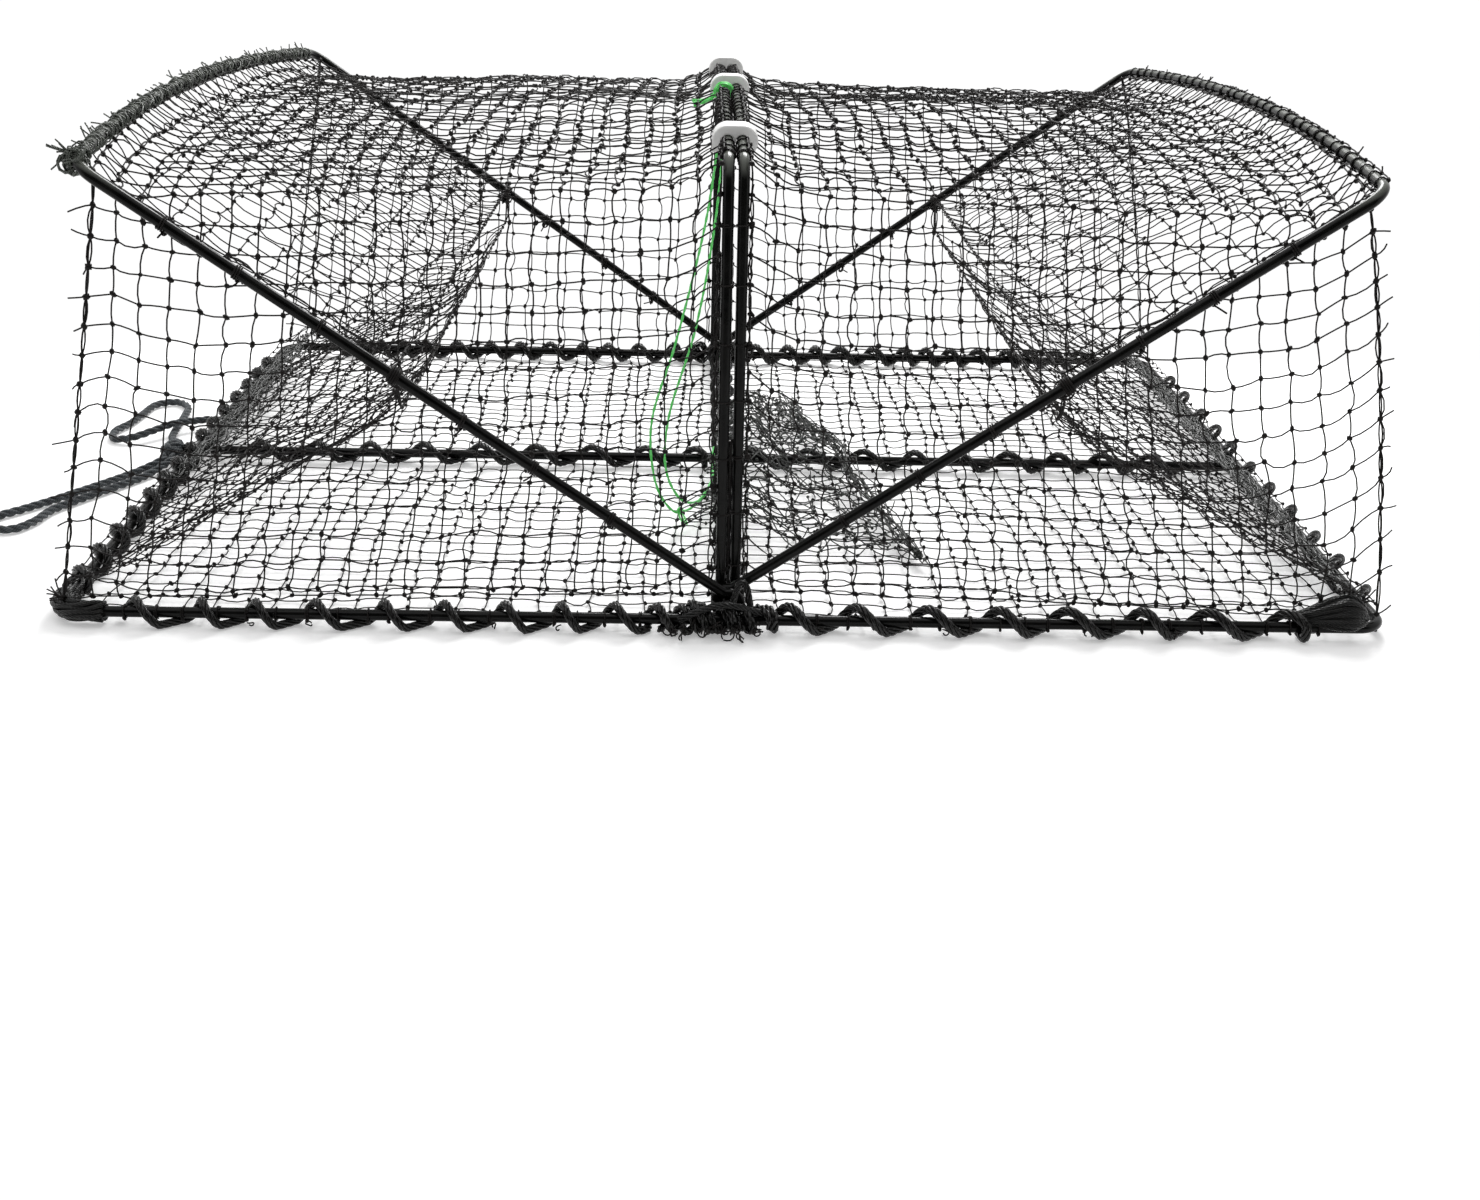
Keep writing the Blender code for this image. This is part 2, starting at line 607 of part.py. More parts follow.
def make_rope(finish, collection):
    """The hauling rope at the left end: its knot, a doubled eye and the loose end's loop."""
    knot_x = HALF_LENGTH + LASHED_RADIUS + CLEARANCE + ROPE_KNOT_SIZE[0] / 2
    knot = Vector((-knot_x, ROPE_KNOT_Y, RING_Z))
    ellipsoid("rope_knot", knot, ROPE_KNOT_SIZE, finish, collection)
    low = ROPE_DIAMETER / 2 + CLEARANCE
    over = low + ROPE_DIAMETER + CLEARANCE
    knot_half = ROPE_KNOT_SIZE[1] / 2 + CLEARANCE
    front, rear = knot.y - knot_half, knot.y + knot_half
    side = ROPE_DIAMETER / 2 + CLEARANCE
    eye = (
        (knot.x - side, front, knot.z), (knot.x - side, front - 0.006, knot.z - 0.001),
        (-0.326, -0.030, low), (-0.338, -0.050, low), (-0.351, -0.070, low), (-0.364, -0.088, low),
        (-0.375, -0.102, low), (-0.374, -0.116, low), (-0.360, -0.118, low), (-0.353, -0.106, low),
        (-0.350, -0.090, low), (-0.341, -0.073, low), (-0.330, -0.055, low), (-0.319, -0.036, low),
        (knot.x + side, front - 0.006, knot.z - 0.001), (knot.x + side, front, knot.z),
    )
    lay_cord("rope_eye", eye, 24, ROPE_DIAMETER / 2, finish, collection)
    tail = (
        (knot.x, rear, knot.z), (knot.x - 0.001, rear + 0.007, knot.z - 0.001),
        (-0.323, 0.030, low), (-0.326, 0.050, low), (-0.328, 0.072, low), (-0.331, 0.092, low),
        (-0.341, 0.103, low), (-0.352, 0.096, low), (-0.354, 0.078, low), (-0.356, 0.058, low),
        (-0.360, 0.042, low), (-0.356, 0.028, low), (-0.344, 0.026, low + 0.002), (-0.334, 0.034, over - 0.001),
        (-0.325, 0.045, over), (-0.316, 0.053, over - 0.001), (-0.308, 0.057, RING_Z),
    )
    lay_cord("rope_tail", tail, 22, ROPE_DIAMETER / 2, finish, collection)


def main():
    """Build the whole trap, standing open."""
    clear_scene()
    collection = bpy.data.collections.new(COLLECTION)
    bpy.context.scene.collection.children.link(collection)
    cutters = bpy.data.collections.new(CUTTERS)
    bpy.context.scene.collection.children.link(cutters)
    steel = material("coated_steel", (0.020, 0.020, 0.021), 0.38, 0.2)
    twine = material("black_twine", (0.016, 0.017, 0.016), 0.85)
    netting = material("black_netting", (0.022, 0.021, 0.020), 0.70)
    plastic = material("white_plastic", (0.86, 0.86, 0.84), 0.35)
    green = material("green_twine", (0.07, 0.62, 0.12), 0.55)
    rope = material("grey_rope", (0.045, 0.047, 0.050), 0.80)

    make_base(steel, collection)
    lean = math.pi / 2 - OUTER_ANGLE
    for label, side in (("left", -1), ("right", 1)):
        name = f"{label}_outer_bow"
        path = bow_path(
            EYE_Y[name], HALF_WIDTH, OUTER_ARM, OUTER_ARCH, OUTER_CORNER_RADIUS, -side * BAR_X
        )
        make_bow(name, side * lean, path, steel, collection)
        name = f"{label}_inner_bow"
        path = bow_path(
            EYE_Y[name], INNER_TOP_Y, INNER_ARM, INNER_ARCH, INNER_CORNER_RADIUS, side * BAR_X
        )
        make_bow(name, 0.0, path, steel, collection)
    make_clips(plastic, collection)
    make_lashings(twine, collection)
    make_nets(netting, collection, cutters)
    make_bag(netting, collection)
    make_green_twine(green, collection)
    make_rope(rope, collection)


main()
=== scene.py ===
"""A folding crayfish trap, standing open: black rods, knotted nets, lashings, a bait bag, clips and cords."""

import logging
import math
from dataclasses import dataclass, field
from enum import Enum

import bpy
import numpy as np
from mathutils import Matrix, Quaternion, Vector

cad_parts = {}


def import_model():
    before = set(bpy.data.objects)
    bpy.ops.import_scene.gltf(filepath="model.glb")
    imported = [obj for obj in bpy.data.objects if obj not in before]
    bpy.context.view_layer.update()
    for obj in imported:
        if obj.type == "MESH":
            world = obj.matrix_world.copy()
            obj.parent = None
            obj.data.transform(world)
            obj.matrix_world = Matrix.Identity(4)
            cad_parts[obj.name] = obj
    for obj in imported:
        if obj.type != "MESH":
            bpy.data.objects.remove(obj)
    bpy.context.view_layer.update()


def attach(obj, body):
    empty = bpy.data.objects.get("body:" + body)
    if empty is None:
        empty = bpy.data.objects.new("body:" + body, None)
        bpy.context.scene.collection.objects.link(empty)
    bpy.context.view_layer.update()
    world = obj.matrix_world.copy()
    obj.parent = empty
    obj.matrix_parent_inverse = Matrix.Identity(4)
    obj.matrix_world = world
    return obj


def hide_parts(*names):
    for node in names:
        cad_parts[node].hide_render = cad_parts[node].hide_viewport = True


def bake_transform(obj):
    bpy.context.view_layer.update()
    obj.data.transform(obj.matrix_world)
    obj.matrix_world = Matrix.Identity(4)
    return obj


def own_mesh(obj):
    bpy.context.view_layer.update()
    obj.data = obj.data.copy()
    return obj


LOG = logging.getLogger("crayfish_trap")
MM = 0.001
TINY = 1e-9
# Up to this angle, about a full turn, a winding may start anywhere
ANY_ANGLE = 6.28
HANDS = (("left", -1), ("right", 1))
UP = Vector((0, 0, 1))
Points = list[Vector]
Piece = bpy.types.Object
Socket = bpy.types.NodeSocket


# Sizes of the frame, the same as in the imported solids


@dataclass(frozen=True)
class TrapSizes:
    """Sizes of the rod frame, in metres, with the centre of the base's underside as origin."""

    half_length: float = 0.300
    half_width: float = 0.225
    ring_corner: float = 0.012
    rod_radius: float = 0.0025
    hugging: float = 0.0030
    clearance: float = 0.0003
    ring_z: float = 0.006321
    cross_z: float = 0.011621
    bar_x: float = 0.0033
    eye_radius: float = 0.00537
    eye_mouth: float = math.radians(26)
    eye_neck: float = 0.0035
    outer_arm: float = 0.327
    outer_angle: float = math.radians(35)
    outer_arch: float = 0.015
    inner_arm: float = 0.191
    inner_top_y: float = 0.192
    inner_arch: float = 0.008
    bow_corner: float = 0.012

    def outer_foot(self, side: int) -> float:
        """Depth of an outer bow's foot from the middle."""
        return 0.2196 if side < 0 else 0.2142

    def inner_foot(self, side: int) -> float:
        """Depth of an inner bow's foot from the middle."""
        return 0.2088 if side < 0 else 0.2034

    def outer_axes(self, side: int) -> tuple[Vector, Vector]:
        """The direction along an outer bow's arms, and the one square to it in the plane of its swing.

        Args:
            side: -1 on the left, 1 on the right.

        Returns:
            Both unit vectors.
        """
        lean = self.outer_angle
        along = Vector((side * math.cos(lean), 0, math.sin(lean)))
        return along, Vector((-side * math.sin(lean), 0, math.cos(lean)))

    def outer_bar(self, side: int, y: float, inset: float = 0.0) -> Vector:
        """A point beside an outer bow's crossbar, this far inside it in the bow's own plane.

        Args:
            side: -1 for the left bow, 1 for the right one.
            y: Depth of the point.
            inset: How far inside the crossbar's centre line it is.

        Returns:
            The point in the trap's frame.
        """
        reach = self.outer_arm + self.outer_arch * (1 - (y / self.half_width) ** 2) - inset
        along = reach * math.cos(self.outer_angle) - self.bar_x * math.sin(self.outer_angle)
        rise = reach * math.sin(self.outer_angle) + self.bar_x * math.cos(self.outer_angle)
        return Vector((side * along, y, self.cross_z + rise))

    def inner_bar(self, side: int, y: float) -> Vector:
        """A point of an inner bow's crossbar at this depth."""
        height = self.cross_z + self.inner_arm + self.inner_arch * (1 - (y / self.inner_top_y) ** 2)
        return Vector((side * self.bar_x, y, height))

    def inner_depth(self, side: int, up: float) -> float:
        """Depth of an inner bow's arm at this height above the pivot."""
        foot = self.inner_foot(side)
        return foot + (self.inner_top_y - foot) * up / self.inner_arm


SIZES = TrapSizes()


class Slot(Enum):
    """The material slots of the finishes."""

    STEEL = "coated_steel"
    TWINE = "black_twine"
    NETTING = "black_netting"
    PLASTIC = "white_plastic"
    GREEN = "green_twine"
    ROPE = "grey_rope"


# Finishes


class NodeBuilder:
    """A node tree under construction: a material's, the world's or one of Geometry Nodes."""

    def __init__(self, tree: bpy.types.NodeTree) -> None:
        """Start with this tree."""
        self.tree = tree

    def node(self, kind: str, values: dict | None = None, **settings: object) -> bpy.types.Node:
        """Add a node, set its properties and fill its sockets.

        Args:
            kind: The node's type name.
            values: Socket names or numbers, with the constant or the socket that feeds each.
            settings: Properties of the node.

        Returns:
            The new node.
        """
        made = self.tree.nodes.new(kind)
        for name, value in settings.items():
            setattr(made, name, value)
        for key, value in (values or {}).items():
            if isinstance(value, Socket):
                self.tree.links.new(value, made.inputs[key])
            else:
                made.inputs[key].default_value = value
        return made

    def math(self, operation: str, first: object, second: object = 0.0) -> Socket:
        """The result of one arithmetic step."""
        return self.node("ShaderNodeMath", {0: first, 1: second}, operation=operation).outputs[0]


class ShaderBuilder(NodeBuilder):
    """A Principled material whose pattern is built from a few kinds of node."""

    def __init__(self, name: str) -> None:
        """Start a material of this name with a Principled shader.

        Args:
            name: Name of the material.
        """
        self.material = bpy.data.materials.new(name)
        self.material.use_nodes = True
        super().__init__(self.material.node_tree)
        self.shader = self.tree.nodes["Principled BSDF"]
        self.place = self.node("ShaderNodeTexCoord").outputs["Object"]

    def noise(self, scale: float, detail: float = 2.0) -> Socket:
        """Noise over the object's own coordinates."""
        values = {"Vector": self.place, "Scale": scale, "Detail": detail}
        return self.node("ShaderNodeTexNoise", values).outputs["Fac"]

    def ramp(self, value: Socket, source: tuple, target: tuple = (0.0, 1.0), **settings: object) -> Socket:
        """Carry one range of numbers onto another."""
        ends = dict(zip(("From Min", "From Max", "To Min", "To Max"), (*source, *target)))
        return self.node("ShaderNodeMapRange", {"Value": value, **ends}, **settings).outputs["Result"]

    def spread(self, value: Socket, low: float = 0.0, high: float = 1.0) -> Socket:
        """Stretch the middle of a noise onto a range of numbers."""
        return self.ramp(value, (0.3, 0.7), (low, high))

    def part(self, vector: Socket, axis: str) -> Socket:
        """One coordinate of a vector."""
        return self.node("ShaderNodeSeparateXYZ", {0: vector}).outputs[axis]

    def blend(self, share: Socket, first: object, second: object) -> Socket:
        """A colour between two, each a tuple or a socket, by this share."""
        ends = [(*end, 1.0) if isinstance(end, tuple) else end for end in (first, second)]
        return self.node("ShaderNodeMix", {0: share, 6: ends[0], 7: ends[1]}, data_type="RGBA").outputs[2]

    def attribute(self, name: str) -> Socket:
        """A number stored on the mesh."""
        return self.node("ShaderNodeAttribute", attribute_name=name).outputs["Fac"]

    def lay(self, pitch: float, strands: int) -> Socket:
        """Ridges of yarns that are laid round a cord, from 0 in the grooves to 1 on the ridges.

        Args:
            pitch: Length of one full turn of a yarn.
            strands: Number of yarns side by side.

        Returns:
            The height of the pattern.
        """
        turns = self.math("DIVIDE", self.attribute("along"), pitch)
        turns = self.math("ADD", turns, self.attribute("around"))
        phase = self.math("MULTIPLY", turns, 2 * math.pi * strands)
        return self.math("ADD", self.math("MULTIPLY", self.math("SINE", phase), 0.5), 0.5)

    def bump(self, height: Socket, distance: float) -> None:
        """Raise the surface by this height."""
        made = self.node("ShaderNodeBump", {"Height": height, "Distance": distance, "Strength": 1.0})
        self.feed("Normal", made.outputs["Normal"])

    def feed(self, socket: str, value: Socket) -> None:
        """Link a value to the shader."""
        self.tree.links.new(value, self.shader.inputs[socket])

    def fix(self, **values: object) -> None:
        """Set the shader's own sockets to constants, by their names with _ for a space."""
        for name, value in values.items():
            self.shader.inputs[name.replace("_", " ")].default_value = value


@dataclass(frozen=True)
class CoatedSteel:
    """Satin black coating over steel rod, a little scuffed, with a painted grey highlight on the
    upward-facing tops of the high crossbars, for the light from above that they reflect.
    """

    dark: tuple[float, float, float] = (0.0016, 0.0016, 0.0016)
    worn: tuple[float, float, float] = (0.0065, 0.0065, 0.0060)
    # Painted highlight on the high crossbars' tops: its grey, and the heights and upward slopes over which it
    # comes in
    painted_top_highlight: tuple[float, float, float] = (0.105, 0.112, 0.098)
    top_highlight_height: tuple[float, float] = (0.191, 0.200)
    top_highlight_slope: tuple[float, float] = (0.35, 0.9)
    slot: Slot = Slot.STEEL

    def make(self) -> bpy.types.Material:
        """Build the material.

        Returns:
            The coated steel.
        """
        made = ShaderBuilder("satin_coated_steel")
        coat = made.blend(made.spread(made.noise(90, 4)), self.dark, self.worn)
        # Painted highlight: surfaces that are high and face up turn grey, standing in for the light from
        # above that they reflect
        facing = made.node("ShaderNodeTexCoord").outputs["Normal"]
        raised = made.ramp(made.part(made.place, "Z"), self.top_highlight_height)
        upward = made.ramp(made.part(facing, "Z"), self.top_highlight_slope)
        made.feed("Base Color", made.blend(made.math("MULTIPLY", raised, upward), coat, self.painted_top_highlight))
        made.feed("Roughness", made.spread(made.noise(260, 3), 0.15, 0.27))
        made.bump(made.noise(700, 3), 0.00003)
        made.fix(Specular_IOR_Level=0.12)
        return made.material


@dataclass(frozen=True)
class LaidTwine:
    """Twisted cord of one colour, with its yarns laid round it, painted darker in the grooves between the
    yarns and lighter on their ridges.
    """

    name: str
    dark: tuple[float, float, float]
    light: tuple[float, float, float]
    rough: tuple[float, float]
    slot: Slot = Slot.NETTING
    pitch: float = 0.0022
    yarns: int = 2
    relief: float = 0.00008
    sheen: float = 0.0
    shine: float = 0.3

    def make(self) -> bpy.types.Material:
        """Build the material.

        Returns:
            The twine.
        """
        made = ShaderBuilder(self.name)
        ridges = made.lay(self.pitch, self.yarns)
        patches = made.spread(made.noise(160, 3))
        # Half of the colour follows the lay: painted shade in the grooves and painted highlight on the
        # ridges; the other half is random patches of tone
        share = made.math("MULTIPLY", made.math("ADD", ridges, patches), 0.5)
        made.feed("Base Color", made.blend(share, self.dark, self.light))
        made.feed("Roughness", made.spread(made.noise(400, 2), *self.rough))
        made.bump(ridges, self.relief)
        made.fix(Sheen_Weight=self.sheen, Sheen_Roughness=0.4, Specular_IOR_Level=self.shine)
        return made.material


@dataclass(frozen=True)
class ClipPlastic:
    """Smooth white moulded plastic."""

    colour: tuple[float, float, float] = (0.92, 0.92, 0.91)
    shade: tuple[float, float, float] = (0.86, 0.86, 0.84)
    slot: Slot = Slot.PLASTIC

    def make(self) -> bpy.types.Material:
        """Build the material.

        Returns:
            The clips' plastic.
        """
        made = ShaderBuilder("moulded_white_plastic")
        made.feed("Base Color", made.blend(made.spread(made.noise(120, 3)), self.colour, self.shade))
        made.feed("Roughness", made.spread(made.noise(500, 2), 0.25, 0.36))
        made.bump(made.noise(350, 2), 0.00005)
        made.fix(Specular_IOR_Level=0.5)
        return made.material


Finish = CoatedSteel | LaidTwine | ClipPlastic
STEEL = CoatedSteel()
PLASTIC = ClipPlastic()
TWINE = LaidTwine(
    "twisted_black_twine", (0.002, 0.002, 0.002), (0.010, 0.010, 0.009), (0.15, 0.26),
    Slot.TWINE, pitch=0.0040, relief=0.00006, shine=0.32,
)
NETTING = LaidTwine(
    "knotted_black_netting", (0.003, 0.003, 0.003), (0.016, 0.013, 0.012), (0.4, 0.65), shine=0.15
)
# Black netting twine whose light grey is painted sheen, for the light that it reflects on the left outer
# crossbar
LACING = LaidTwine("painted_sheen_netting_twine", (0.008, 0.010, 0.008), (0.130, 0.145, 0.120), (0.3, 0.5), shine=0.5)
POUCH = LaidTwine("soft_pouch_twine", (0.004, 0.005, 0.004), (0.030, 0.034, 0.029), (0.35, 0.55), shine=0.35)
SLACK = LaidTwine(
    "slack_glossy_netting", (0.002, 0.003, 0.002), (0.014, 0.017, 0.013), (0.12, 0.24),
    relief=0.00005, shine=0.7,
)
GREEN = LaidTwine(
    "green_split_film_twine", (0.060, 0.74, 0.090), (0.280, 0.96, 0.310), (0.3, 0.5), Slot.GREEN, pitch=0.012
)
ROPE = LaidTwine(
    "laid_grey_rope", (0.009, 0.011, 0.014), (0.085, 0.098, 0.106), (0.45, 0.7),
    Slot.ROPE, pitch=0.005, yarns=4, relief=0.00020, sheen=0.2,
)


# Geometry Nodes


class GeometryTree(NodeBuilder):
    """A Geometry Nodes tree under construction, which ends in realised geometry with a finish."""

    def __init__(self, name: str, **settings: str) -> None:
        """Start a tree.

        Args:
            name: The tree's name.
            settings: Its inputs besides the geometry and the finish, each with its kind of socket.
        """
        super().__init__(bpy.data.node_groups.new(name, "GeometryNodeTree"))
        face = self.tree.interface
        face.new_socket("Geometry", in_out="OUTPUT", socket_type="NodeSocketGeometry")
        for label, kind in {"Geometry": "Geometry", **settings, "Finish": "Material"}.items():
            face.new_socket(label, in_out="INPUT", socket_type=f"NodeSocket{kind}")
        self.start = self.tree.nodes.new("NodeGroupInput").outputs

    def scaled(self, vector: Socket, factor: Socket) -> Socket:
        """A vector times a number."""
        return self.node("ShaderNodeVectorMath", {0: vector, "Scale": factor}, operation="SCALE").outputs[0]

    def store(self, geometry: Socket, name: str, value: str) -> Socket:
        """Store this measure of each spline's parameter on its points under this name.

        Args:
            geometry: Curves to store it on.
            name: Name of the attribute.
            value: Which output of the parameter node is stored.

        Returns:
            The curves with the attribute.
        """
        value = self.node("GeometryNodeSplineParameter").outputs[value]
        values = {"Geometry": geometry, "Name": name, "Value": value}
        kept = self.node("GeometryNodeStoreNamedAttribute", values, data_type="FLOAT", domain="POINT")
        return kept.outputs[0]

    def tube(self, curve: Socket, radius: Socket, sides: object) -> Socket:
        """A capped tube along a curve, with its length and its turn stored for the material.

        Args:
            curve: The centre lines.
            radius: The tube's radius.
            sides: Number of sides.

        Returns:
            The tube's mesh.
        """
        circle = self.node("GeometryNodeCurvePrimitiveCircle", {"Resolution": sides, "Radius": radius})
        values = {
            "Curve": self.store(curve, "along", "Length"),
            "Profile Curve": self.store(circle.outputs[0], "around", "Factor"),
            "Fill Caps": True,
        }
        return self.node("GeometryNodeCurveToMesh", values).outputs[0]

    def finish(self, parts: list[Socket]) -> "GeometryTree":
        """Join the parts, smooth, realise and finish them.

        Args:
            parts: Outputs that hold the tree's meshes.

        Returns:
            This tree.
        """
        join = self.node("GeometryNodeJoinGeometry")
        for part in parts:
            self.tree.links.new(part, join.inputs[0])
        smooth = self.node("GeometryNodeSetShadeSmooth", {"Geometry": join.outputs[0]}).outputs[0]
        real = self.node("GeometryNodeRealizeInstances", {"Geometry": smooth}).outputs[0]
        coated = self.node("GeometryNodeSetMaterial", {"Geometry": real, "Material": self.start["Finish"]})
        self.node("NodeGroupOutput", {0: coated.outputs[0]})
        return self

    def apply(self, obj: Piece, values: dict[str, object]) -> Piece:
        """Run the tree on an object and keep the result as its plain mesh.

        Args:
            obj: The object whose mesh is the tree's input.
            values: The tree's inputs by name.

        Returns:
            The same object.
        """
        modifier = obj.modifiers.new(self.tree.name, "NODES")
        modifier.node_group = self.tree
        for item in self.tree.interface.items_tree:
            if item.in_out == "INPUT" and item.name in values:
                modifier[item.identifier] = values[item.name]
        graph = bpy.context.evaluated_depsgraph_get()
        plain = bpy.data.meshes.new_from_object(obj.evaluated_get(graph), depsgraph=graph)
        obj.modifiers.clear()
        obj.data = plain
        return obj


def netting_tree() -> GeometryTree:
    """The tree that turns a web of edges into strands, with a small knot on each marked point.

    Returns:
        The finished tree.
    """
    tree = GeometryTree("netting", **{"Strand Radius": "Float", "Knot Radius": "Float", "Seed": "Int"})
    curve = tree.node("GeometryNodeMeshToCurve", {"Mesh": tree.start["Geometry"]}).outputs[0]
    strands = tree.tube(curve, tree.start["Strand Radius"], 5)
    marked = tree.node("GeometryNodeInputNamedAttribute", {"Name": "knot"}, data_type="FLOAT").outputs[0]
    seed, radius = tree.start["Seed"], tree.start["Knot Radius"]
    lump = tree.node("GeometryNodeMeshUVSphere", {"Segments": 6, "Rings": 4, "Radius": radius})
    turn, size = (
        tree.node("FunctionNodeRandomValue", {0: low, 1: high, "Seed": seed}, data_type="FLOAT_VECTOR")
        for low, high in (((0.0,) * 3, (2 * math.pi,) * 3), ((1.0, 0.75, 0.65), (1.45, 1.05, 0.9)))
    )
    values = {
        "Points": tree.start["Geometry"], "Selection": tree.math("GREATER_THAN", marked, 0.5),
        "Instance": lump.outputs[0], "Rotation": turn.outputs[0], "Scale": size.outputs[0],
    }
    knots = tree.node("GeometryNodeInstanceOnPoints", values).outputs[0]
    return tree.finish([strands, knots])


def laid_tree() -> GeometryTree:
    """The tree that lays several strands round the line of a cord.

    Returns:
        The finished tree.
    """
    settings = dict.fromkeys(("Lay Radius", "Strand Radius", "Pitch", "Step"), "Float")
    tree = GeometryTree("laid_cord", **settings, Strands="Int", Sides="Int")
    line = tree.node("GeometryNodeMeshToCurve", {"Mesh": tree.start["Geometry"]}).outputs[0]
    values = {"Curve": line, "Length": tree.start["Step"]}
    fine = tree.node("GeometryNodeResampleCurve", values, mode="LENGTH")
    values = {"Geometry": fine.outputs[0], "Amount": tree.start["Strands"]}
    copies = tree.node("GeometryNodeDuplicateElements", values, domain="SPLINE")
    length = tree.node("GeometryNodeSplineParameter").outputs["Length"]
    share = tree.math("DIVIDE", copies.outputs["Duplicate Index"], tree.start["Strands"])
    turns = tree.math("ADD", tree.math("DIVIDE", length, tree.start["Pitch"]), share)
    angle = tree.math("MULTIPLY", turns, 2 * math.pi)
    normal = tree.node("GeometryNodeInputNormal").outputs["Normal"]
    tangent = tree.node("GeometryNodeInputTangent").outputs[0]
    side = tree.node("ShaderNodeVectorMath", {0: tangent, 1: normal}, operation="CROSS_PRODUCT").outputs[0]
    out = tree.math("MULTIPLY", tree.math("COSINE", angle), tree.start["Lay Radius"])
    over = tree.math("MULTIPLY", tree.math("SINE", angle), tree.start["Lay Radius"])
    shift = tree.node("ShaderNodeVectorMath", {0: tree.scaled(normal, out), 1: tree.scaled(side, over)})
    moved = tree.node("GeometryNodeSetPosition", {"Geometry": copies.outputs[0], "Offset": shift.outputs[0]})
    return tree.finish([tree.tube(moved.outputs[0], tree.start["Strand Radius"], tree.start["Sides"])])


class Workshop:
    """What every piece is made with: the finishes, the node trees and the collection."""

    def __init__(self, seed: int = 7) -> None:
        """Build the trees once and start the one source of irregularity.

        Args:
            seed: Seed of the irregularities.
        """
        self.finishes = {}
        self.netting = netting_tree()
        self.laid = laid_tree()
        self.random = np.random.default_rng(seed)

    def material(self, finish: Finish) -> bpy.types.Material:
        """The material of a finish, made when it is first asked for.

        Args:
            finish: What the piece is made of.

        Returns:
            The one material of this finish.
        """
        if finish not in self.finishes:
            self.finishes[finish] = finish.make()
        return self.finishes[finish]

    def link(self, name: str, data: bpy.types.ID) -> Piece:
        """A new object of this mesh, curve, lamp or camera, linked into the scene at the origin.

        Args:
            name: Name of the object.
            data: What it shows.

        Returns:
            The object.
        """
        obj = bpy.data.objects.new(name, data)
        bpy.context.scene.collection.objects.link(obj)
        return obj

    def lines(self, name: str, points: list | np.ndarray, edges: list) -> Piece:
        """A new object of points and edges, the input of a tree.

        Args:
            name: Name of the object.
            points: Places of its points.
            edges: Pairs of point numbers.

        Returns:
            The object.
        """
        mesh = bpy.data.meshes.new(name)
        mesh.from_pydata([tuple(p) for p in points], edges, [])
        return self.link(name, mesh)

    def fit(self, obj: Piece, finish: Finish, body: str = "", node: str = "") -> Piece:
        """Put a piece on its body, hide the CAD node that it stands for, and log its faces.

        Args:
            obj: The piece.
            finish: Its finish, which knows its slot; not used.
            body: The body that it rides on, if it rides on one.
            node: The CAD node that it stands for, if there is one.

        Returns:
            The same piece.
        """
        if body:
            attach(obj, body)
        if node:
            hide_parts(node)
        LOG.info("%s: %d faces", obj.name, len(obj.data.polygons))
        return obj

    def web(self, name: str, web: "Web", finish: Finish, strand: float, knot: float, seed: int = 1) -> Piece:
        """Turn a web of knots and strands into netting.

        Args:
            name: The new piece's name.
            web: The knots and strands.
            finish: Its finish.
            strand: Radius of a strand.
            knot: Radius of a knot.
            seed: Seed of the knots' turns and sizes.

        Returns:
            The new piece.
        """
        points = np.array(web.points)
        lowest = np.where(np.array(web.marks) > 0.5, knot * 1.5, strand * 1.1)
        points[:, 2] = np.maximum(points[:, 2], lowest)
        obj = self.lines(name, points, web.edges)
        mark = obj.data.attributes.new("knot", "FLOAT", "POINT")
        mark.data.foreach_set("value", np.array(web.marks, dtype=np.float32))
        values = {"Strand Radius": strand, "Knot Radius": knot, "Seed": seed, "Finish": self.material(finish)}
        return self.netting.apply(obj, values)

    def cord(
        self, name: str, routes: list[Points], finish: Finish, strands: int, strand: float, lay: float,
        pitch: float, step: float,
    ) -> Piece:
        """Lay strands along one or more routes.

        Args:
            name: The new piece's name.
            routes: Lines of points, each one cord.
            finish: Its finish.
            strands: Number of strands in each cord.
            strand: Radius of a strand.
            lay: Distance of the strands' centres from the cord's line.
            pitch: Length of one turn of the strands.
            step: Distance between the rings of the tubes.

        Returns:
            The new piece.
        """
        points, edges = [], []
        for route in routes:
            first = len(points)
            points += route
            edges += [(i, i + 1) for i in range(first, len(points) - 1)]
        obj = self.lines(name, points, edges)
        values = {
            "Strands": strands, "Lay Radius": lay, "Strand Radius": strand, "Pitch": pitch, "Step": step,
            "Sides": 6, "Finish": self.material(finish),
        }
        return self.laid.apply(obj, values)


def reaches(points: Points) -> np.ndarray:
    """Distance of each point of a line from its first one, along the line."""
    return np.concatenate([[0.0], np.cumsum([(b - a).length for a, b in zip(points, points[1:])])])


def smooth_line(anchors: list, step: float) -> Points:
    """Evenly spaced points on a smooth curve through the anchors.

    Args:
        anchors: Points that the curve passes through.
        step: About how far apart the new points are.

    Returns:
        The new points, the first and last anchors among them.
    """
    knots = [Vector(a) for a in anchors]
    ends = [2 * knots[0] - knots[1], *knots, 2 * knots[-1] - knots[-2]]
    fine, parts = [], 20
    for p0, p1, p2, p3 in zip(ends, ends[1:], ends[2:], ends[3:]):
        for i in range(parts):
            t = i / parts
            fine.append(
                0.5 * (2 * p1 + (p2 - p0) * t + (2 * p0 - 5 * p1 + 4 * p2 - p3) * t**2
                       + (3 * p1 - p0 - 3 * p2 + p3) * t**3)
            )
    fine.append(knots[-1])
    reach = reaches(fine)
    count = max(2, round(reach[-1] / step)) + 1
    wanted = np.linspace(0, reach[-1], count)
    axes = np.array([tuple(p) for p in fine])
    return [Vector(p) for p in np.stack([np.interp(wanted, reach, axes[:, k]) for k in range(3)], 1)]


def route_length(points: Points) -> float:
    """Length of a line of points."""
    return sum((b - a).length for a, b in zip(points, points[1:]))


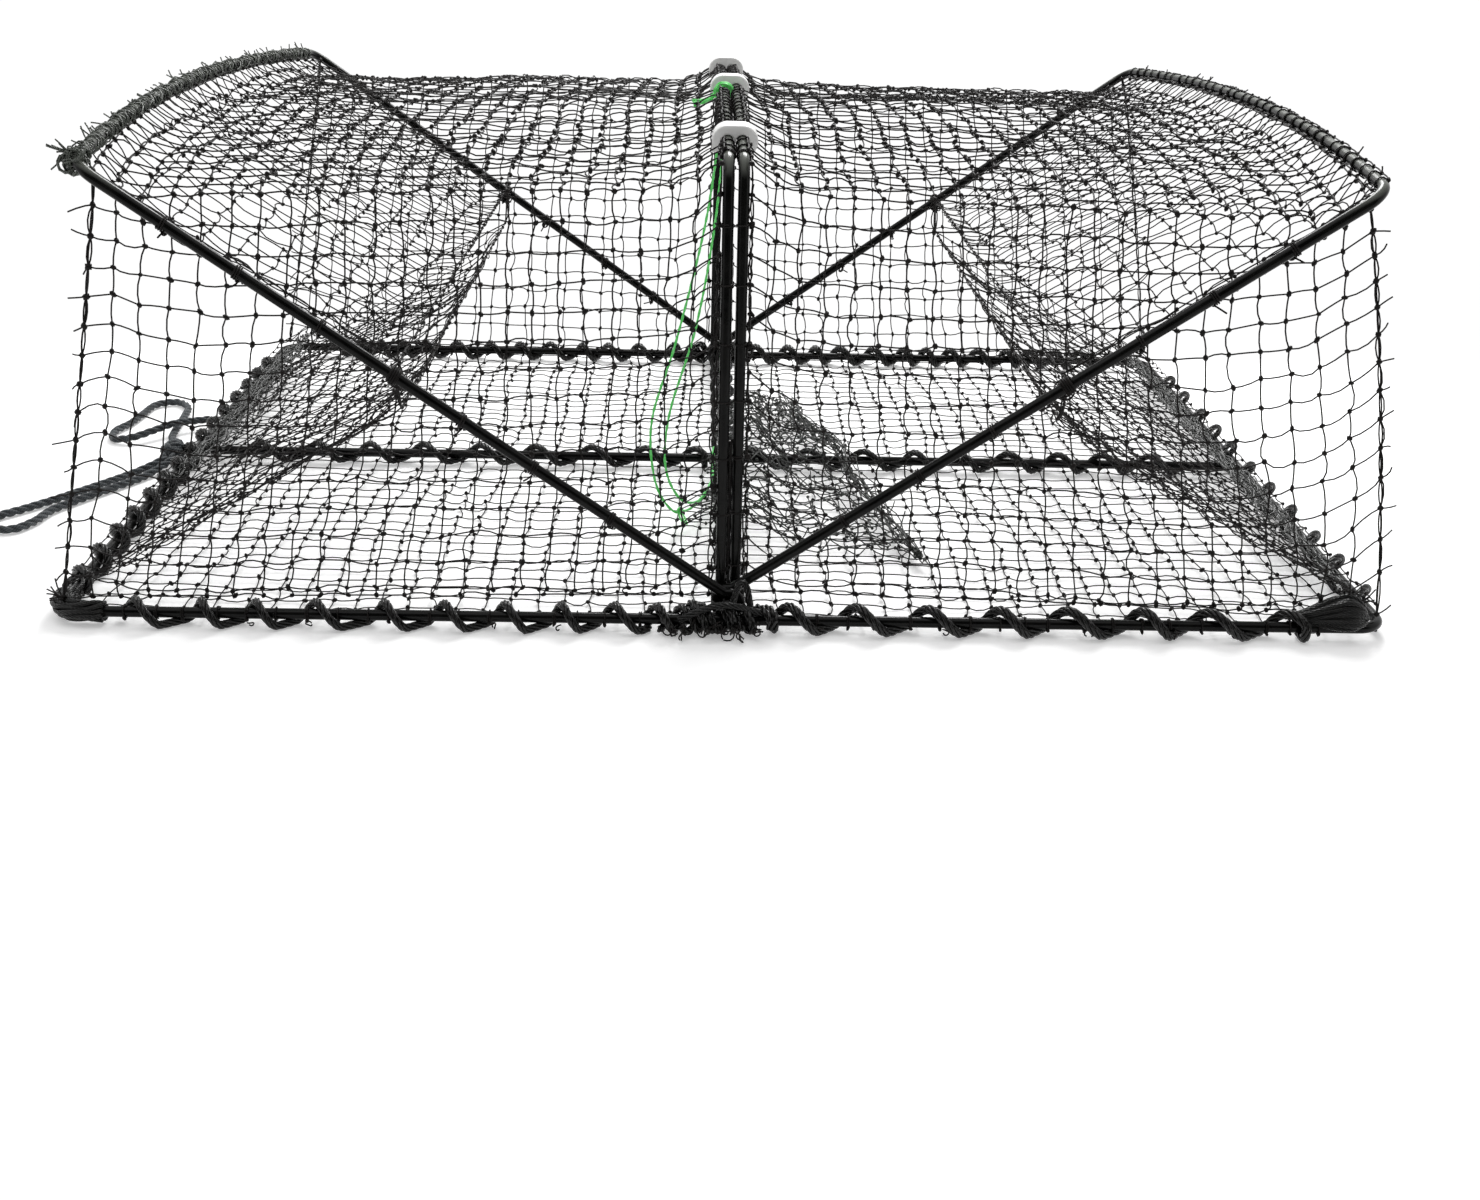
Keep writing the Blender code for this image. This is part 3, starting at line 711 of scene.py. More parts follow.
def fillet(before: Vector, corner: Vector, after: Vector, radius: float, steps: int = 10) -> Points:
    """Points of the arc that rounds a corner between two straight runs.

    Args:
        before: A point of the run that comes in.
        corner: Where the two runs would meet.
        after: A point of the run that leaves.
        radius: Radius of the arc.
        steps: Number of straight steps of the arc.

    Returns:
        The arc's points, both ends among them.
    """
    back = (before - corner).normalized()
    ahead = (after - corner).normalized()
    half = back.angle(ahead) / 2
    start = corner + back * (radius / math.tan(half))
    centre = corner + (back + ahead).normalized() * (radius / math.sin(half))
    axis = (start - centre).cross(corner + ahead * (radius / math.tan(half)) - centre).normalized()
    turn = math.pi - 2 * half
    return [centre + Quaternion(axis, turn * i / steps) @ (start - centre) for i in range(steps + 1)]


# Rods


@dataclass
class RodFrame:
    """The bent rods: the base ring, its two inner rods and the four bows."""

    shop: Workshop
    sides: int = 20
    sizes: TrapSizes = SIZES

    def rod(self, name: str, points: Points, node: str, body: str, closed: bool = False) -> Piece:
        """A smooth rod along the points that stands for a CAD node.

        Args:
            name: The new piece's name.
            points: The centre line.
            node: The CAD node that it replaces.
            body: The body that it rides on.
            closed: Whether the line closes on itself.

        Returns:
            The new piece.
        """
        count = len(points)
        tangents = []
        for i in range(count):
            ahead = points[(i + 1) % count] if closed or i < count - 1 else points[i]
            back = points[i - 1] if closed or i > 0 else points[i]
            tangents.append((ahead - back).normalized())
        normal = tangents[0].orthogonal().normalized()
        normals = [normal]
        for a, b in zip(tangents, tangents[1:]):
            normal = a.rotation_difference(b) @ normal
            normals.append(normal)
        ring = [2 * math.pi * i / self.sides for i in range(self.sides)]
        verts = []
        for point, tangent, out in zip(points, tangents, normals):
            side = tangent.cross(out)
            verts += [point + self.sizes.rod_radius * (out * math.cos(a) + side * math.sin(a)) for a in ring]
        faces = []
        sides = self.sides
        for i in range(count if closed else count - 1):
            near, far = i * sides, ((i + 1) % count) * sides
            shift = self.closing_shift(normals, tangents) if closed and i == count - 1 else 0
            for k in range(sides):
                nxt = (k + 1) % sides
                faces.append((near + k, near + nxt, far + (nxt + shift) % sides, far + (k + shift) % sides))
        if not closed:
            faces.append(tuple(reversed(range(sides))))
            faces.append(tuple(range((count - 1) * sides, count * sides)))
        mesh = bpy.data.meshes.new(name)
        mesh.from_pydata(verts, [], faces)
        mesh.materials.append(self.shop.material(STEEL))
        mesh.shade_smooth()
        return self.shop.fit(self.shop.link(name, mesh), STEEL, body, node)

    def closing_shift(self, normals: Points, tangents: Points) -> int:
        """How many sides the last ring is turned against the first one.

        Args:
            normals: Each ring's normal.
            tangents: The path's direction at each ring.

        Returns:
            The number of sides.
        """
        last = tangents[-1].rotation_difference(tangents[0]) @ normals[-1]
        side = tangents[0].cross(normals[0])
        angle = math.atan2(last.dot(side), last.dot(normals[0]))
        return round(angle / (2 * math.pi / self.sides)) % self.sides

    def ring_path(self) -> Points:
        """Centre line of the base ring.

        Returns:
            The path's points.
        """
        s = self.sizes
        signs = ((1, 1), (-1, 1), (-1, -1), (1, -1))
        corners = [Vector((x * s.half_length, y * s.half_width, s.ring_z)) for x, y in signs]
        points = []
        for i, corner in enumerate(corners):
            points += fillet(corners[i - 1], corner, corners[(i + 1) % len(corners)], s.ring_corner)
        return points

    def eye_path(self, offset: float, y: float, steps: int = 30) -> Points:
        """An open eye bent round the pivot axis, from its free end to its neck at the foot of an arm.

        Args:
            offset: Side offset of the arm from the pivot.
            y: The eye's place along the axis.
            steps: Number of straight steps of the bend.

        Returns:
            The path's points.
        """
        s = self.sizes
        hand = math.copysign(1, offset)
        neck_x = abs(offset) + s.eye_neck
        neck_z = math.sqrt((s.eye_radius + s.eye_neck) ** 2 - neck_x**2)
        bend = math.atan2(neck_x, neck_z)
        sweep = 2 * math.pi - bend - s.eye_mouth
        points = []
        for i in range(steps + 1):
            angle = s.eye_mouth + sweep * i / steps
            points.append(Vector((-hand * s.eye_radius * math.sin(angle), y, s.eye_radius * math.cos(angle))))
        neck_steps = 4
        for i in range(1, neck_steps + 1):
            angle = (math.pi / 2 - bend) * (1 - i / neck_steps)
            x = neck_x - s.eye_neck * math.cos(angle)
            points.append(Vector((hand * x, y, neck_z - s.eye_neck * math.sin(angle))))
        return points

    def bow_path(
        self, foot: float, top: float, arm: float, arch: float, offset: float, lean: float
    ) -> Points:
        """Centre line of a bow with an eye at each foot and an arched crossbar.

        Args:
            foot: Depth of its feet.
            top: Depth of its corners.
            arm: Reach of its corners from the pivot.
            arch: How far the crossbar's middle stands past its corners.
            offset: Side offset of the arms from the pivot.
            lean: Angle by which the bow leans from upright.

        Returns:
            The points in the trap's frame.
        """
        steps = 36
        bar = []
        for i in range(steps + 1):
            y = -top + 2 * top * i / steps
            bar.append(Vector((offset, y, arm + arch * (1 - (y / top) ** 2))))
        front_eye = self.eye_path(offset, -foot)
        rear_eye = self.eye_path(offset, foot)[::-1]
        radius = self.sizes.bow_corner
        front = fillet(front_eye[-1], bar[0], bar[1], radius)
        rear = fillet(bar[-2], bar[-1], rear_eye[0], radius)
        inner = [p for p in bar if abs(p.y) < top - radius - MM]
        path = [*front_eye, *front, *inner, *rear, *rear_eye]
        turn = Matrix.Rotation(lean, 3, "Y")
        pivot = Vector((0, 0, self.sizes.cross_z))
        return [pivot + turn @ p for p in path]

    def build(self) -> None:
        """Make every rod."""
        s = self.sizes
        self.rod("ring_rod", self.ring_path(), "base_ring", "base", closed=True)
        butt = Vector((s.half_length - s.rod_radius - s.clearance, 0, 0))
        over = Vector((0, s.half_width + s.rod_radius, 0))
        for name, end, height in (("long", butt, s.ring_z), ("cross", over, s.cross_z)):
            middle = Vector((0, 0, height))
            self.rod(f"{name}_rod", [middle - end, middle + end], f"base_{name}_rod", "base")
        lean = math.pi / 2 - s.outer_angle
        for label, side in HANDS:
            offset = side * s.bar_x
            outer = (s.outer_foot(side), s.half_width, s.outer_arm, s.outer_arch, -offset, side * lean)
            inner = (s.inner_foot(side), s.inner_top_y, s.inner_arm, s.inner_arch, offset, 0.0)
            for name, bow in ((f"{label}_outer", outer), (f"{label}_inner", inner)):
                self.rod(f"{name}_rod", self.bow_path(*bow), f"{name}_bow", name)


# Nets


@dataclass
class Web:
    """Knots and strands, ready to be turned into netting."""

    points: list = field(default_factory=list)
    edges: list = field(default_factory=list)
    marks: list = field(default_factory=list)

    def knot(self, place: np.ndarray, mark: float = 1.0) -> int:
        """Add a point, with a knot on it if marked, and return its number.

        Args:
            place: Where it is.
            mark: Size of the knot, 0 for none.

        Returns:
            The point's number.
        """
        self.points.append(np.asarray(place, float))
        self.marks.append(mark)
        return len(self.points) - 1

    def strand(self, a: int, b: int, bow: np.ndarray, parts: int = 3) -> None:
        """Add a strand between two points, bowed by this much at its middle.

        Args:
            a: Number of the first point.
            b: Number of the last point.
            bow: How far the middle stands off the straight line.
            parts: Number of straight parts.
        """
        start, end = self.points[a], self.points[b]
        last = a
        for i in range(1, parts):
            t = i / parts
            here = self.knot(start + (end - start) * t + bow * (4 * t * (1 - t)), 0.0)
            self.edges.append((last, here))
            last = here
        self.edges.append((last, b))

    def line(self, places: Points) -> None:
        """Add a strand that runs through these places."""
        numbers = [self.knot(place, 0.0) for place in places]
        self.edges += list(zip(numbers, numbers[1:]))

    def span(self, start: Vector, end: Vector, bow: np.ndarray, parts: int = 4, mark: float = 1.0) -> None:
        """Add a bowed strand between two places, with a knot on each if marked."""
        self.strand(self.knot(start, mark), self.knot(end, mark), bow, parts)

    def turns(
        self, centre: Vector, axis: Vector, radius: float, turns: float, pitch: float = 0.0010,
        start: float = 0.0, steps: int = 9,
    ) -> None:
        """Add a strand wound round an axis.

        Args:
            centre: Middle of the winding.
            axis: Its direction.
            radius: Distance of the strand from the axis.
            turns: Number of turns.
            pitch: Length of a turn along the axis.
            start: Angle of its first point.
            steps: Number of points in a turn.
        """
        axis = axis.normalized()
        out = axis.cross(Vector((0.13, 0.21, 1.0))).normalized()
        side = axis.cross(out)
        count = max(2, round(turns * steps))
        places = []
        for i in range(count + 1):
            turn = turns * i / count
            angle = start + 2 * math.pi * turn
            shift = axis * (pitch * (turn - turns / 2))
            places.append(centre + shift + radius * (out * math.cos(angle) + side * math.sin(angle)))
        self.line(places)

    def clump(self, centre: Vector, size: float, count: int, noise: np.random.Generator) -> None:
        """Add a knot of many small turns of a strand.

        Args:
            centre: Its middle.
            size: Its radius.
            count: Number of turns.
            noise: Source of its irregularity.
        """
        for _ in range(count):
            axis = Vector(noise.normal(0, 1, 3)).normalized()
            out = axis.orthogonal().normalized()
            side = axis.cross(out)
            radius = size * noise.uniform(0.5, 1.0)
            middle = centre + Vector(noise.normal(0, 0.2 * size, 3))
            sweep = noise.uniform(0.7, 1.0) * 2 * math.pi
            places, steps = [], 11
            for i in range(steps + 1):
                a = sweep * i / steps
                turned = out * math.cos(a) + side * math.sin(a) + axis * 0.25 * math.sin(2 * a)
                places.append(middle + radius * turned)
            self.line(places)

    def tag(self, start: Vector, direction: Vector, length: float, noise: np.random.Generator) -> None:
        """Add a short cut end of a strand that sticks out in this direction.

        Args:
            start: Where the cut end leaves its strand.
            direction: Direction that it sticks out in.
            length: Its length.
            noise: Source of its irregularity.
        """
        direction = (direction.normalized() + Vector(noise.normal(0, 0.28, 3))).normalized()
        curl = Vector(noise.normal(0, 0.18, 3)) * length
        self.line([start + direction * (length * t) + curl * (t * t) for t in (0.0, 0.35, 0.7, 1.0)])


def settle(
    grid: np.ndarray, rest: tuple[np.ndarray, np.ndarray], pinned: np.ndarray, cap: float, rounds: int = 220,
    pull: float = 0.00006,
) -> np.ndarray:
    """Let a grid of knots hang in its slack: strands resist only stretching.

    Args:
        grid: Knots, as columns by rows by three.
        rest: Length of each strand along the columns' direction and along the rows' direction.
        pinned: Which knots are tied to a rod.
        cap: How far a knot may move from where it started.
        rounds: Number of rounds.
        pull: Fall of a free knot in each round.

    Returns:
        The settled grid.
    """
    home = grid.copy()
    free = (~pinned).astype(float)[..., None]
    for _ in range(rounds):
        grid[..., 2] -= pull * free[..., 0]
        for axis in (0, 1):
            knots = grid.swapaxes(0, axis)
            loose = free.swapaxes(0, axis)
            lengths = rest[axis] if axis == 0 else rest[axis].T
            for start in (0, 1):
                a, b = knots[start:-1:2], knots[start + 1 :: 2]
                fa, fb = loose[start:-1:2], loose[start + 1 :: 2]
                gap = b - a
                size = np.linalg.norm(gap, axis=-1, keepdims=True)
                spare = size - lengths[start::2][..., None]
                excess = np.maximum(0, spare) / np.maximum(size, TINY)
                share = gap * excess / np.maximum(fa + fb, 1)
                knots[start:-1:2] = a + share * fa
                knots[start + 1 :: 2] = b - share * fb
        move = grid - home
        size = np.linalg.norm(move, axis=-1, keepdims=True)
        grid = home + move * np.minimum(1, cap / np.maximum(size, TINY))
    return grid


@dataclass
class NetSet:
    """The floor net, the two body nets and the funnels."""

    shop: Workshop
    body_twine: tuple[float, float] = (0.00037, 0.00132)
    floor_twine: tuple[float, float] = (0.00032, 0.00120)
    funnel_twine: tuple[float, float] = (0.00032, 0.00100)
    slack_twine: tuple[float, float] = (0.00036, 0.00090)
    stand_off: float = 0.0034
    floor_z: float = 0.0012
    floor_lift: float = 0.0030
    floor_wave: float = 0.0010
    corner_inset: float = 0.0074
    corner_y: float = 0.2176
    upright_gap: float = 0.0088
    upright_lean: float = 0.0024
    wall_rows: int = 15
    body_columns: int = 23
    body_rows: int = 64
    slit_x: float = 0.144
    slit_z: float = 0.108
    slit_gape: float = 0.020
    wall_y: float = 0.2216
    foot_z: float = 0.0119
    sizes: TrapSizes = SIZES

    def drift(self, columns: int, rows: int, size: float) -> np.ndarray:
        """Slow waves over a lattice, as slack netting has.

        Args:
            columns: Number of the lattice's columns.
            rows: Number of its rows.
            size: Size of the waves.

        Returns:
            A shift for each point of the lattice.
        """
        noise = self.shop.random
        i, j = np.meshgrid(np.arange(columns + 1), np.arange(rows + 1), indexing="ij")
        waves = np.zeros((columns + 1, rows + 1, 3))
        count = 6
        for _ in range(count):
            a, b = noise.uniform(-0.5, 0.5, 2)
            for k, phase in enumerate(noise.uniform(0, 2 * math.pi, 3)):
                waves[..., k] += np.sin(a * i + b * j + phase)
        return waves * (size / math.sqrt(count))

    def lattice(
        self, place: object, columns: int, rows: int, slack: tuple[float, float], cap: float,
        tied: bool = False, wave: float = 0.0014,
    ) -> np.ndarray:
        """Spread knots over a surface and let them settle.

        Args:
            place: Function from the two shares to a point.
            columns: Number of meshes along the first share.
            rows: Number of meshes along the second.
            slack: Extra length of the strands, as a share, in the two directions.
            cap: How far a knot may move.
            tied: Whether every knot is tied down, and not only those along the edges.
            wave: Size of the slow waves.

        Returns:
            The knots, as columns by rows by three.
        """
        wobble = 0.0006
        numbers = [[(i, j) for j in range(rows + 1)] for i in range(columns + 1)]
        grid = np.array([[place(i / columns, j / rows) for i, j in line] for line in numbers], float)
        pinned = np.full(grid.shape[:2], True)
        pinned[1:-1, 1:-1] = tied
        across = np.linalg.norm(np.diff(grid, axis=0), axis=-1)
        deep = np.linalg.norm(np.diff(grid, axis=1), axis=-1)
        noise = self.shop.random
        across = across * (1 + slack[0] * noise.uniform(0.4, 1.6, across.shape[1])[None, :])
        deep = deep * (1 + slack[1] * noise.uniform(0.4, 1.6, deep.shape[0])[:, None])
        grid = settle(grid, (across, deep), pinned, cap)
        shifts = noise.normal(0, wobble, grid.shape) + self.drift(columns, rows, wave)
        return grid + shifts * (~pinned)[..., None]

    def weave(self, web: Web, grid: np.ndarray, keep: object = None, bow: float = 0.0008) -> Web:
        """Add a lattice's knots and strands to a web.

        Args:
            web: The web to add to.
            grid: The lattice.
            keep: Function from a strand's middle and its row to whether it belongs to this web.
            bow: How much the strands bend between knots.

        Returns:
            The same web.
        """
        numbers = {}
        lean = self.drift(grid.shape[0] - 1, grid.shape[1] - 1, bow)

        def number(i: int, j: int) -> int:
            """The web's number for a knot of the lattice.

            Args:
                i: Column of the knot.
                j: Row of the knot.

            Returns:
                The number.
            """
            if (i, j) not in numbers:
                numbers[i, j] = web.knot(grid[i, j])
            return numbers[i, j]

        columns, rows = grid.shape[0] - 1, grid.shape[1] - 1
        for i in range(columns + 1):
            for j in range(rows + 1):
                for di, dj in ((1, 0), (0, 1)):
                    bend = self.shop.random.normal(0, bow * 0.7, 3) + lean[i, j]
                    if i + di > columns or j + dj > rows:
                        continue
                    middle = (grid[i, j] + grid[i + di, j + dj]) / 2
                    if keep is None or keep(middle, j + dj / 2):
                        web.strand(number(i, j), number(i + di, j + dj), bend)
        return web

    def piece(
        self, name: str, web: Web, twine: tuple[float, float], finish: Finish = NETTING, body: str = "",
        node: str = "",
    ) -> Piece:
        """Turn a web into a piece of netting.

        Args:
            name: The piece's name, which also seeds the turns of its knots.
            web: Its knots and strands.
            twine: Radius of its strands and of its knots.
            finish: Its finish.
            body: The body that it rides on, if it rides on one.
            node: The CAD node that it stands for, if there is one.

        Returns:
            The piece.
        """
        seed = sum(map(ord, name)) % 97
        return self.shop.fit(self.shop.web(name, web, finish, *twine, seed), finish, body, node)

    def floor_place(self, across: float, deep: float) -> tuple[float, float, float]:
        """A point of the floor net: laced under the rods, slack and a little wavy between them.

        Args:
            across: Share of the way from left to right.
            deep: Share of the way from front to rear.

        Returns:
            The point.
        """
        s = self.sizes
        inset = 0.003
        x = (s.half_length - inset) * (2 * across - 1)
        y = (s.half_width - inset) * (2 * deep - 1)
        edge = min(s.half_length - abs(x), s.half_width - abs(y), abs(y) + 0.001)
        lift = self.floor_lift * math.exp(-((edge / 0.010) ** 2))
        wave = self.floor_wave * (1 + math.sin(x * 41 + 3 * math.sin(y * 17))) * min(1, edge / 0.02)
        return (x, y, self.floor_z + lift + wave)

    def floor(self) -> None:
        """Make the floor net."""
        columns, rows = 48, 37
        grid = self.lattice(self.floor_place, columns, rows, (0.0, 0.0), 0.002, True)
        shifts = self.shop.random.normal(0, 0.0006, (columns - 1, rows - 1, 2))
        shifts += self.drift(columns, rows, 0.0020)[1:-1, 1:-1, :2]
        grid[1:-1, 1:-1, :2] += shifts
        web = self.weave(Web(), grid)
        self.piece("floor_meshes", web, self.floor_twine, body="base", node="floor_net")

    def body_place(self, side: int) -> object:
        """The place function of one side's body net, from its inner bow out to its outer bow.

        Args:
            side: -1 on the left, 1 on the right.

        Returns:
            A function of the shares outwards and around.
        """
        s = self.sizes
        wall_share = self.wall_rows / self.body_rows
        step = self.stand_off
        corner = s.outer_bar(side, s.half_width, self.corner_inset)
        bar_y = self.corner_y

        def profile(around: float, foot: float, top: float, top_z: float, arch: float) -> tuple:
            """Depth, height and share of the wall's rise at this place round the section.

            Args:
                around: Share of the way from one wall's foot over the roof to the other's.
                foot: Depth of the wall's foot.
                top: Depth of the wall's top.
                top_z: Height of the wall's top.
                arch: Rise of the roof over the wall's top.

            Returns:
                Depth, height and share.
            """
            mirror = -1 if around < 0.5 else 1
            rise = min(around, 1 - around) / wall_share
            if rise < 1:
                return mirror * (foot + (top - foot) * rise), self.foot_z + (top_z - self.foot_z) * rise, rise
            y = (around - 0.5) / (0.5 - wall_share) * top
            return y, top_z + arch * (1 - (y / top) ** 2), 1.0

        def place(outward: float, around: float) -> Vector:
            """A point of the net.

            Args:
                outward: Share of the way from the inner bow to the outer bow.
                around: Share of the way over the roof.

            Returns:
                The point.
            """
            y, z, rise = profile(around, self.wall_y, bar_y, corner.z, 0.0)
            if rise < 1:
                outer = Vector((side * (s.half_length - step), y, self.foot_z))
                outer = outer.lerp(Vector((corner.x, y, corner.z)), rise)
            else:
                outer = s.outer_bar(side, y, step + 0.004 * (abs(y) / bar_y) ** 4)
            y, z, rise = profile(
                around, s.inner_foot(side), s.inner_top_y, s.cross_z + s.inner_arm, s.inner_arch
            )
            inner = Vector((side * (self.upright_gap - self.upright_lean * rise), y, z))
            return inner.lerp(outer, outward)

        return place

    def body(self, label: str, side: int) -> None:
        """Make one side's body net: the roof, and the walls above and below the outer bow's arms.

        Args:
            label: left or right, as the pieces are named.
            side: -1 on the left, 1 on the right.
        """
        rows, wall = self.body_rows, self.wall_rows
        s = self.sizes
        grid = self.lattice(self.body_place(side), self.body_columns, rows, (0.003, 0.002), 0.010)
        self.hang(grid, side)
        grid[..., 1] = np.sign(grid[..., 1]) * np.minimum(np.abs(grid[..., 1]), self.wall_y)

        def roof(middle: np.ndarray, row: float) -> bool:
            """Whether a strand belongs to the roof."""
            return wall - 0.1 < row < rows - wall + 0.1

        def above(middle: np.ndarray) -> bool:
            """Whether a strand lies above the outer bow's arm."""
            return math.atan2(middle[2] - s.cross_z, abs(middle[0])) > s.outer_angle

        lower = self.weave(Web(), grid, lambda middle, row: not roof(middle, row) and not above(middle))
        self.selvage(lower, grid)
        top = self.weave(Web(), grid, roof)
        top = self.piece(f"{label}_roof_meshes", top, self.body_twine, node=f"{label}_body_net")
        upper = self.weave(Web(), grid, lambda middle, row: not roof(middle, row) and above(middle))
        upper = self.piece(f"{label}_upper_wall_meshes", upper, self.body_twine, body=f"{label}_outer")
        lower = self.piece(f"{label}_wall_meshes", lower, self.body_twine, body="base")
        pivot, away = Vector((0, 0, s.cross_z)), s.outer_axes(side)[1]
        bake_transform(top)
        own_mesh(upper)
        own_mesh(lower)

    def hang(self, grid: np.ndarray, side: int) -> None:
        """Shape the walls' rows as the free edge pulls them: down on the left, up on the right.

        Args:
            grid: The net's points, by column and row.
            side: -1 on the left, 1 on the right.
        """
        left = (-0.0015, 0.0078, 0.0062, 0.0036, 0.0014)
        right = (0.0185, 0.0142, 0.0105, 0.0072, 0.0042, 0.0018)
        lifts = left if side < 0 else right
        for j in range(grid.shape[1]):
            rise = min(j, self.body_rows - j) / self.wall_rows
            if 0 < rise < 1:
                for back, lift in enumerate(lifts):
                    grid[self.body_columns - back, j, 2] += lift * math.sin(math.pi * rise) ** 0.5

    def selvage(self, web: Web, grid: np.ndarray) -> None:
        """Double the walls' free edges and leave a cut end at each of their knots.

        Args:
            web: The web that takes the strands.
            grid: The net's points, by column and row.
        """
        noise = self.shop.random
        column = self.body_columns
        outward = math.copysign(1, grid[column, 0, 0])
        drop = -0.5 if outward < 0 else 0.55
        for j in range(self.body_rows):
            if self.wall_rows <= j < self.body_rows - self.wall_rows:
                continue
            a, b = grid[column, j], grid[column, j + 1]
            for shift in (0.0006, -0.0005):
                bow = noise.normal(0, 0.0003, 3) + np.array((outward * shift, 0, 0))
                web.span(a, b, bow)
            way = Vector((outward, 0, drop * noise.uniform(0.2, 1.4)))
            web.tag(Vector(a), way, noise.uniform(0.005, 0.009), noise)

    def wall_depth(self, x: float, z: float) -> float:
        """How far from the middle plane the wall net stands at this length and height.

        Args:
            x: Place along the trap's length.
            z: Height above the ground.

        Returns:
            The distance.
        """
        s = self.sizes
        foot = s.inner_foot(1)
        inner = foot - (foot - s.inner_top_y) * max(0.0, (z - self.foot_z) / s.inner_arm)
        return inner + (self.wall_y - inner) * min(1.0, abs(x) / (s.half_length - s.bow_corner))

    def funnel_place(self, side: int, upper: bool) -> object:
        """The place function of a funnel panel, from the trap's end inwards to the lip of the slit.

        Args:
            side: -1 on the left, 1 on the right.
            upper: Whether it is the upper panel.

        Returns:
            A function of the shares inwards and deep.
        """
        s = self.sizes
        if upper:
            bar = s.outer_bar(1, s.half_width)
            start_x = bar.x + self.stand_off * math.sin(s.outer_angle)
            start_z = bar.z - self.stand_off * math.cos(s.outer_angle)
            lip_z = self.slit_z + self.slit_gape / 2
        else:
            start_x = s.half_length
            start_z = s.ring_z + 0.0062
            lip_z = self.slit_z - self.slit_gape / 2

        def place(inward: float, deep: float) -> Vector:
            """A point of the panel.

            Args:
                inward: Share of the way from the trap's end to the lip.
                deep: Share of the way from front to rear.

            Returns:
                The point.
            """
            x = start_x + (self.slit_x - start_x) * inward
            z = start_z + (lip_z - start_z) * inward
            half = self.wall_depth(x, z) - 0.0025 - 0.008 * (1 - inward) ** 2
            y = half * (2 * deep - 1) + (0.030 if upper else -0.018) * inward * math.sin(math.pi * deep)
            if upper:
                bow = s.outer_arch * (1 - (y / s.half_width) ** 2) * (1 - inward)
                x += bow * math.cos(s.outer_angle)
                z += bow * math.sin(s.outer_angle)
            return Vector((side * x, y, z))

        return place

    def funnel(self, label: str, side: int, upper: bool) -> None:
        """Make one panel of a funnel.

        Args:
            label: left or right, as the pieces are named.
            side: -1 on the left, 1 on the right.
            upper: Whether it is the upper panel.
        """
        panel = "upper" if upper else "lower"
        columns, rows = (11, 37) if upper else (13, 35)
        place = self.funnel_place(side, upper)
        grid = self.lattice(place, columns, rows, (0.008, 0.004), 0.008, wave=0.0026)
        web = self.weave(Web(), grid, bow=0.0010)
        noise = self.shop.random
        for j in (0, rows):
            for i in range(columns):
                web.span(grid[i, j], grid[i + 1, j], noise.normal(0, 0.0007, 3))
        for j in range(rows):
            web.span(grid[columns, j], grid[columns, j + 1], noise.normal(0, 0.0006, 3))
        body = f"{label}_outer" if upper else ""
        name, node = f"{label}_{panel}_funnel_meshes", f"{label}_funnel_{panel}"
        obj = self.piece(name, web, self.funnel_twine, body=body, node=node)
        if not upper:
            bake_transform(obj)

    def gathers(self, label: str, side: int) -> None:
        """Make the slack netting that is bunched along the inside of an end rod.

        Args:
            label: left or right, as the pieces are named.
            side: -1 on the left, 1 on the right.
        """
        s = self.sizes
        noise = self.shop.random
        web = Web()
        front = -0.070 if side < 0 else -0.205

        def kept(middle: np.ndarray, row: float) -> bool:
            """Whether a strand is left: most of the long ones, few short ones, fewer toward the front."""
            share = 0.92 if row % 1 else 0.34
            return noise.uniform() < share * min(1.0, max(0.0, (middle[1] - front) / 0.06))

        columns, rows = 8, 32
        for layer, skew in enumerate((0.0030, -0.0042)):
            drift = self.drift(columns, rows, 0.0022)
            grid = np.zeros((columns + 1, rows + 1, 3))
            for i in range(columns + 1):
                for j in range(rows + 1):
                    inward = i / columns
                    y = (s.half_width - 0.018) * (2 * j / rows - 1) + skew * i
                    y = max(-s.half_width + 0.016, min(s.half_width - 0.016, y))
                    x = s.half_length - 0.0015 - (0.004 + 0.019 * inward)
                    z = 0.0105 + 0.010 * inward + 0.0030 * layer * math.sin(math.pi * inward)
                    grid[i, j] = (side * x, y, z)
            grid += drift + noise.normal(0, 0.0009, grid.shape)
            self.weave(web, grid, kept, 0.0012)
        self.piece(f"{label}_end_gathers", web, self.slack_twine, SLACK, "base")

    def build(self) -> None:
        """Make every net."""
        self.floor()
        for label, side in HANDS:
            self.body(label, side)
            for upper in (True, False):
                self.funnel(label, side, upper)
            self.gathers(label, side)


# Lashings


@dataclass(frozen=True)
class Winding:
    """How a twine goes round a rod: its pitch and how far its line stands off the rod's centre."""

    pitch: float
    tight: float
    hump: float
    loop: float
    hump_angle: float = math.radians(108)
    loop_angle: float = math.radians(-38)
    spread: float = math.radians(72)
    rush: float = 0.0
    uneven: float = 0.12

    def reach(self, angle: float, high: float, low: float) -> float:
        """Distance of the twine's line from the rod's centre at this angle, for these two peaks.

        Args:
            angle: Angle round the rod.
            high: The line's reach at its hump.
            low: Its reach at its lower loop.

        Returns:
            The distance.
        """
        radius = self.tight
        for peak, place in ((high, self.hump_angle), (low, self.loop_angle)):
            off = math.remainder(angle - place, 2 * math.pi)
            radius += (peak - self.tight) * math.exp(-((off / self.spread) ** 2))
        return radius


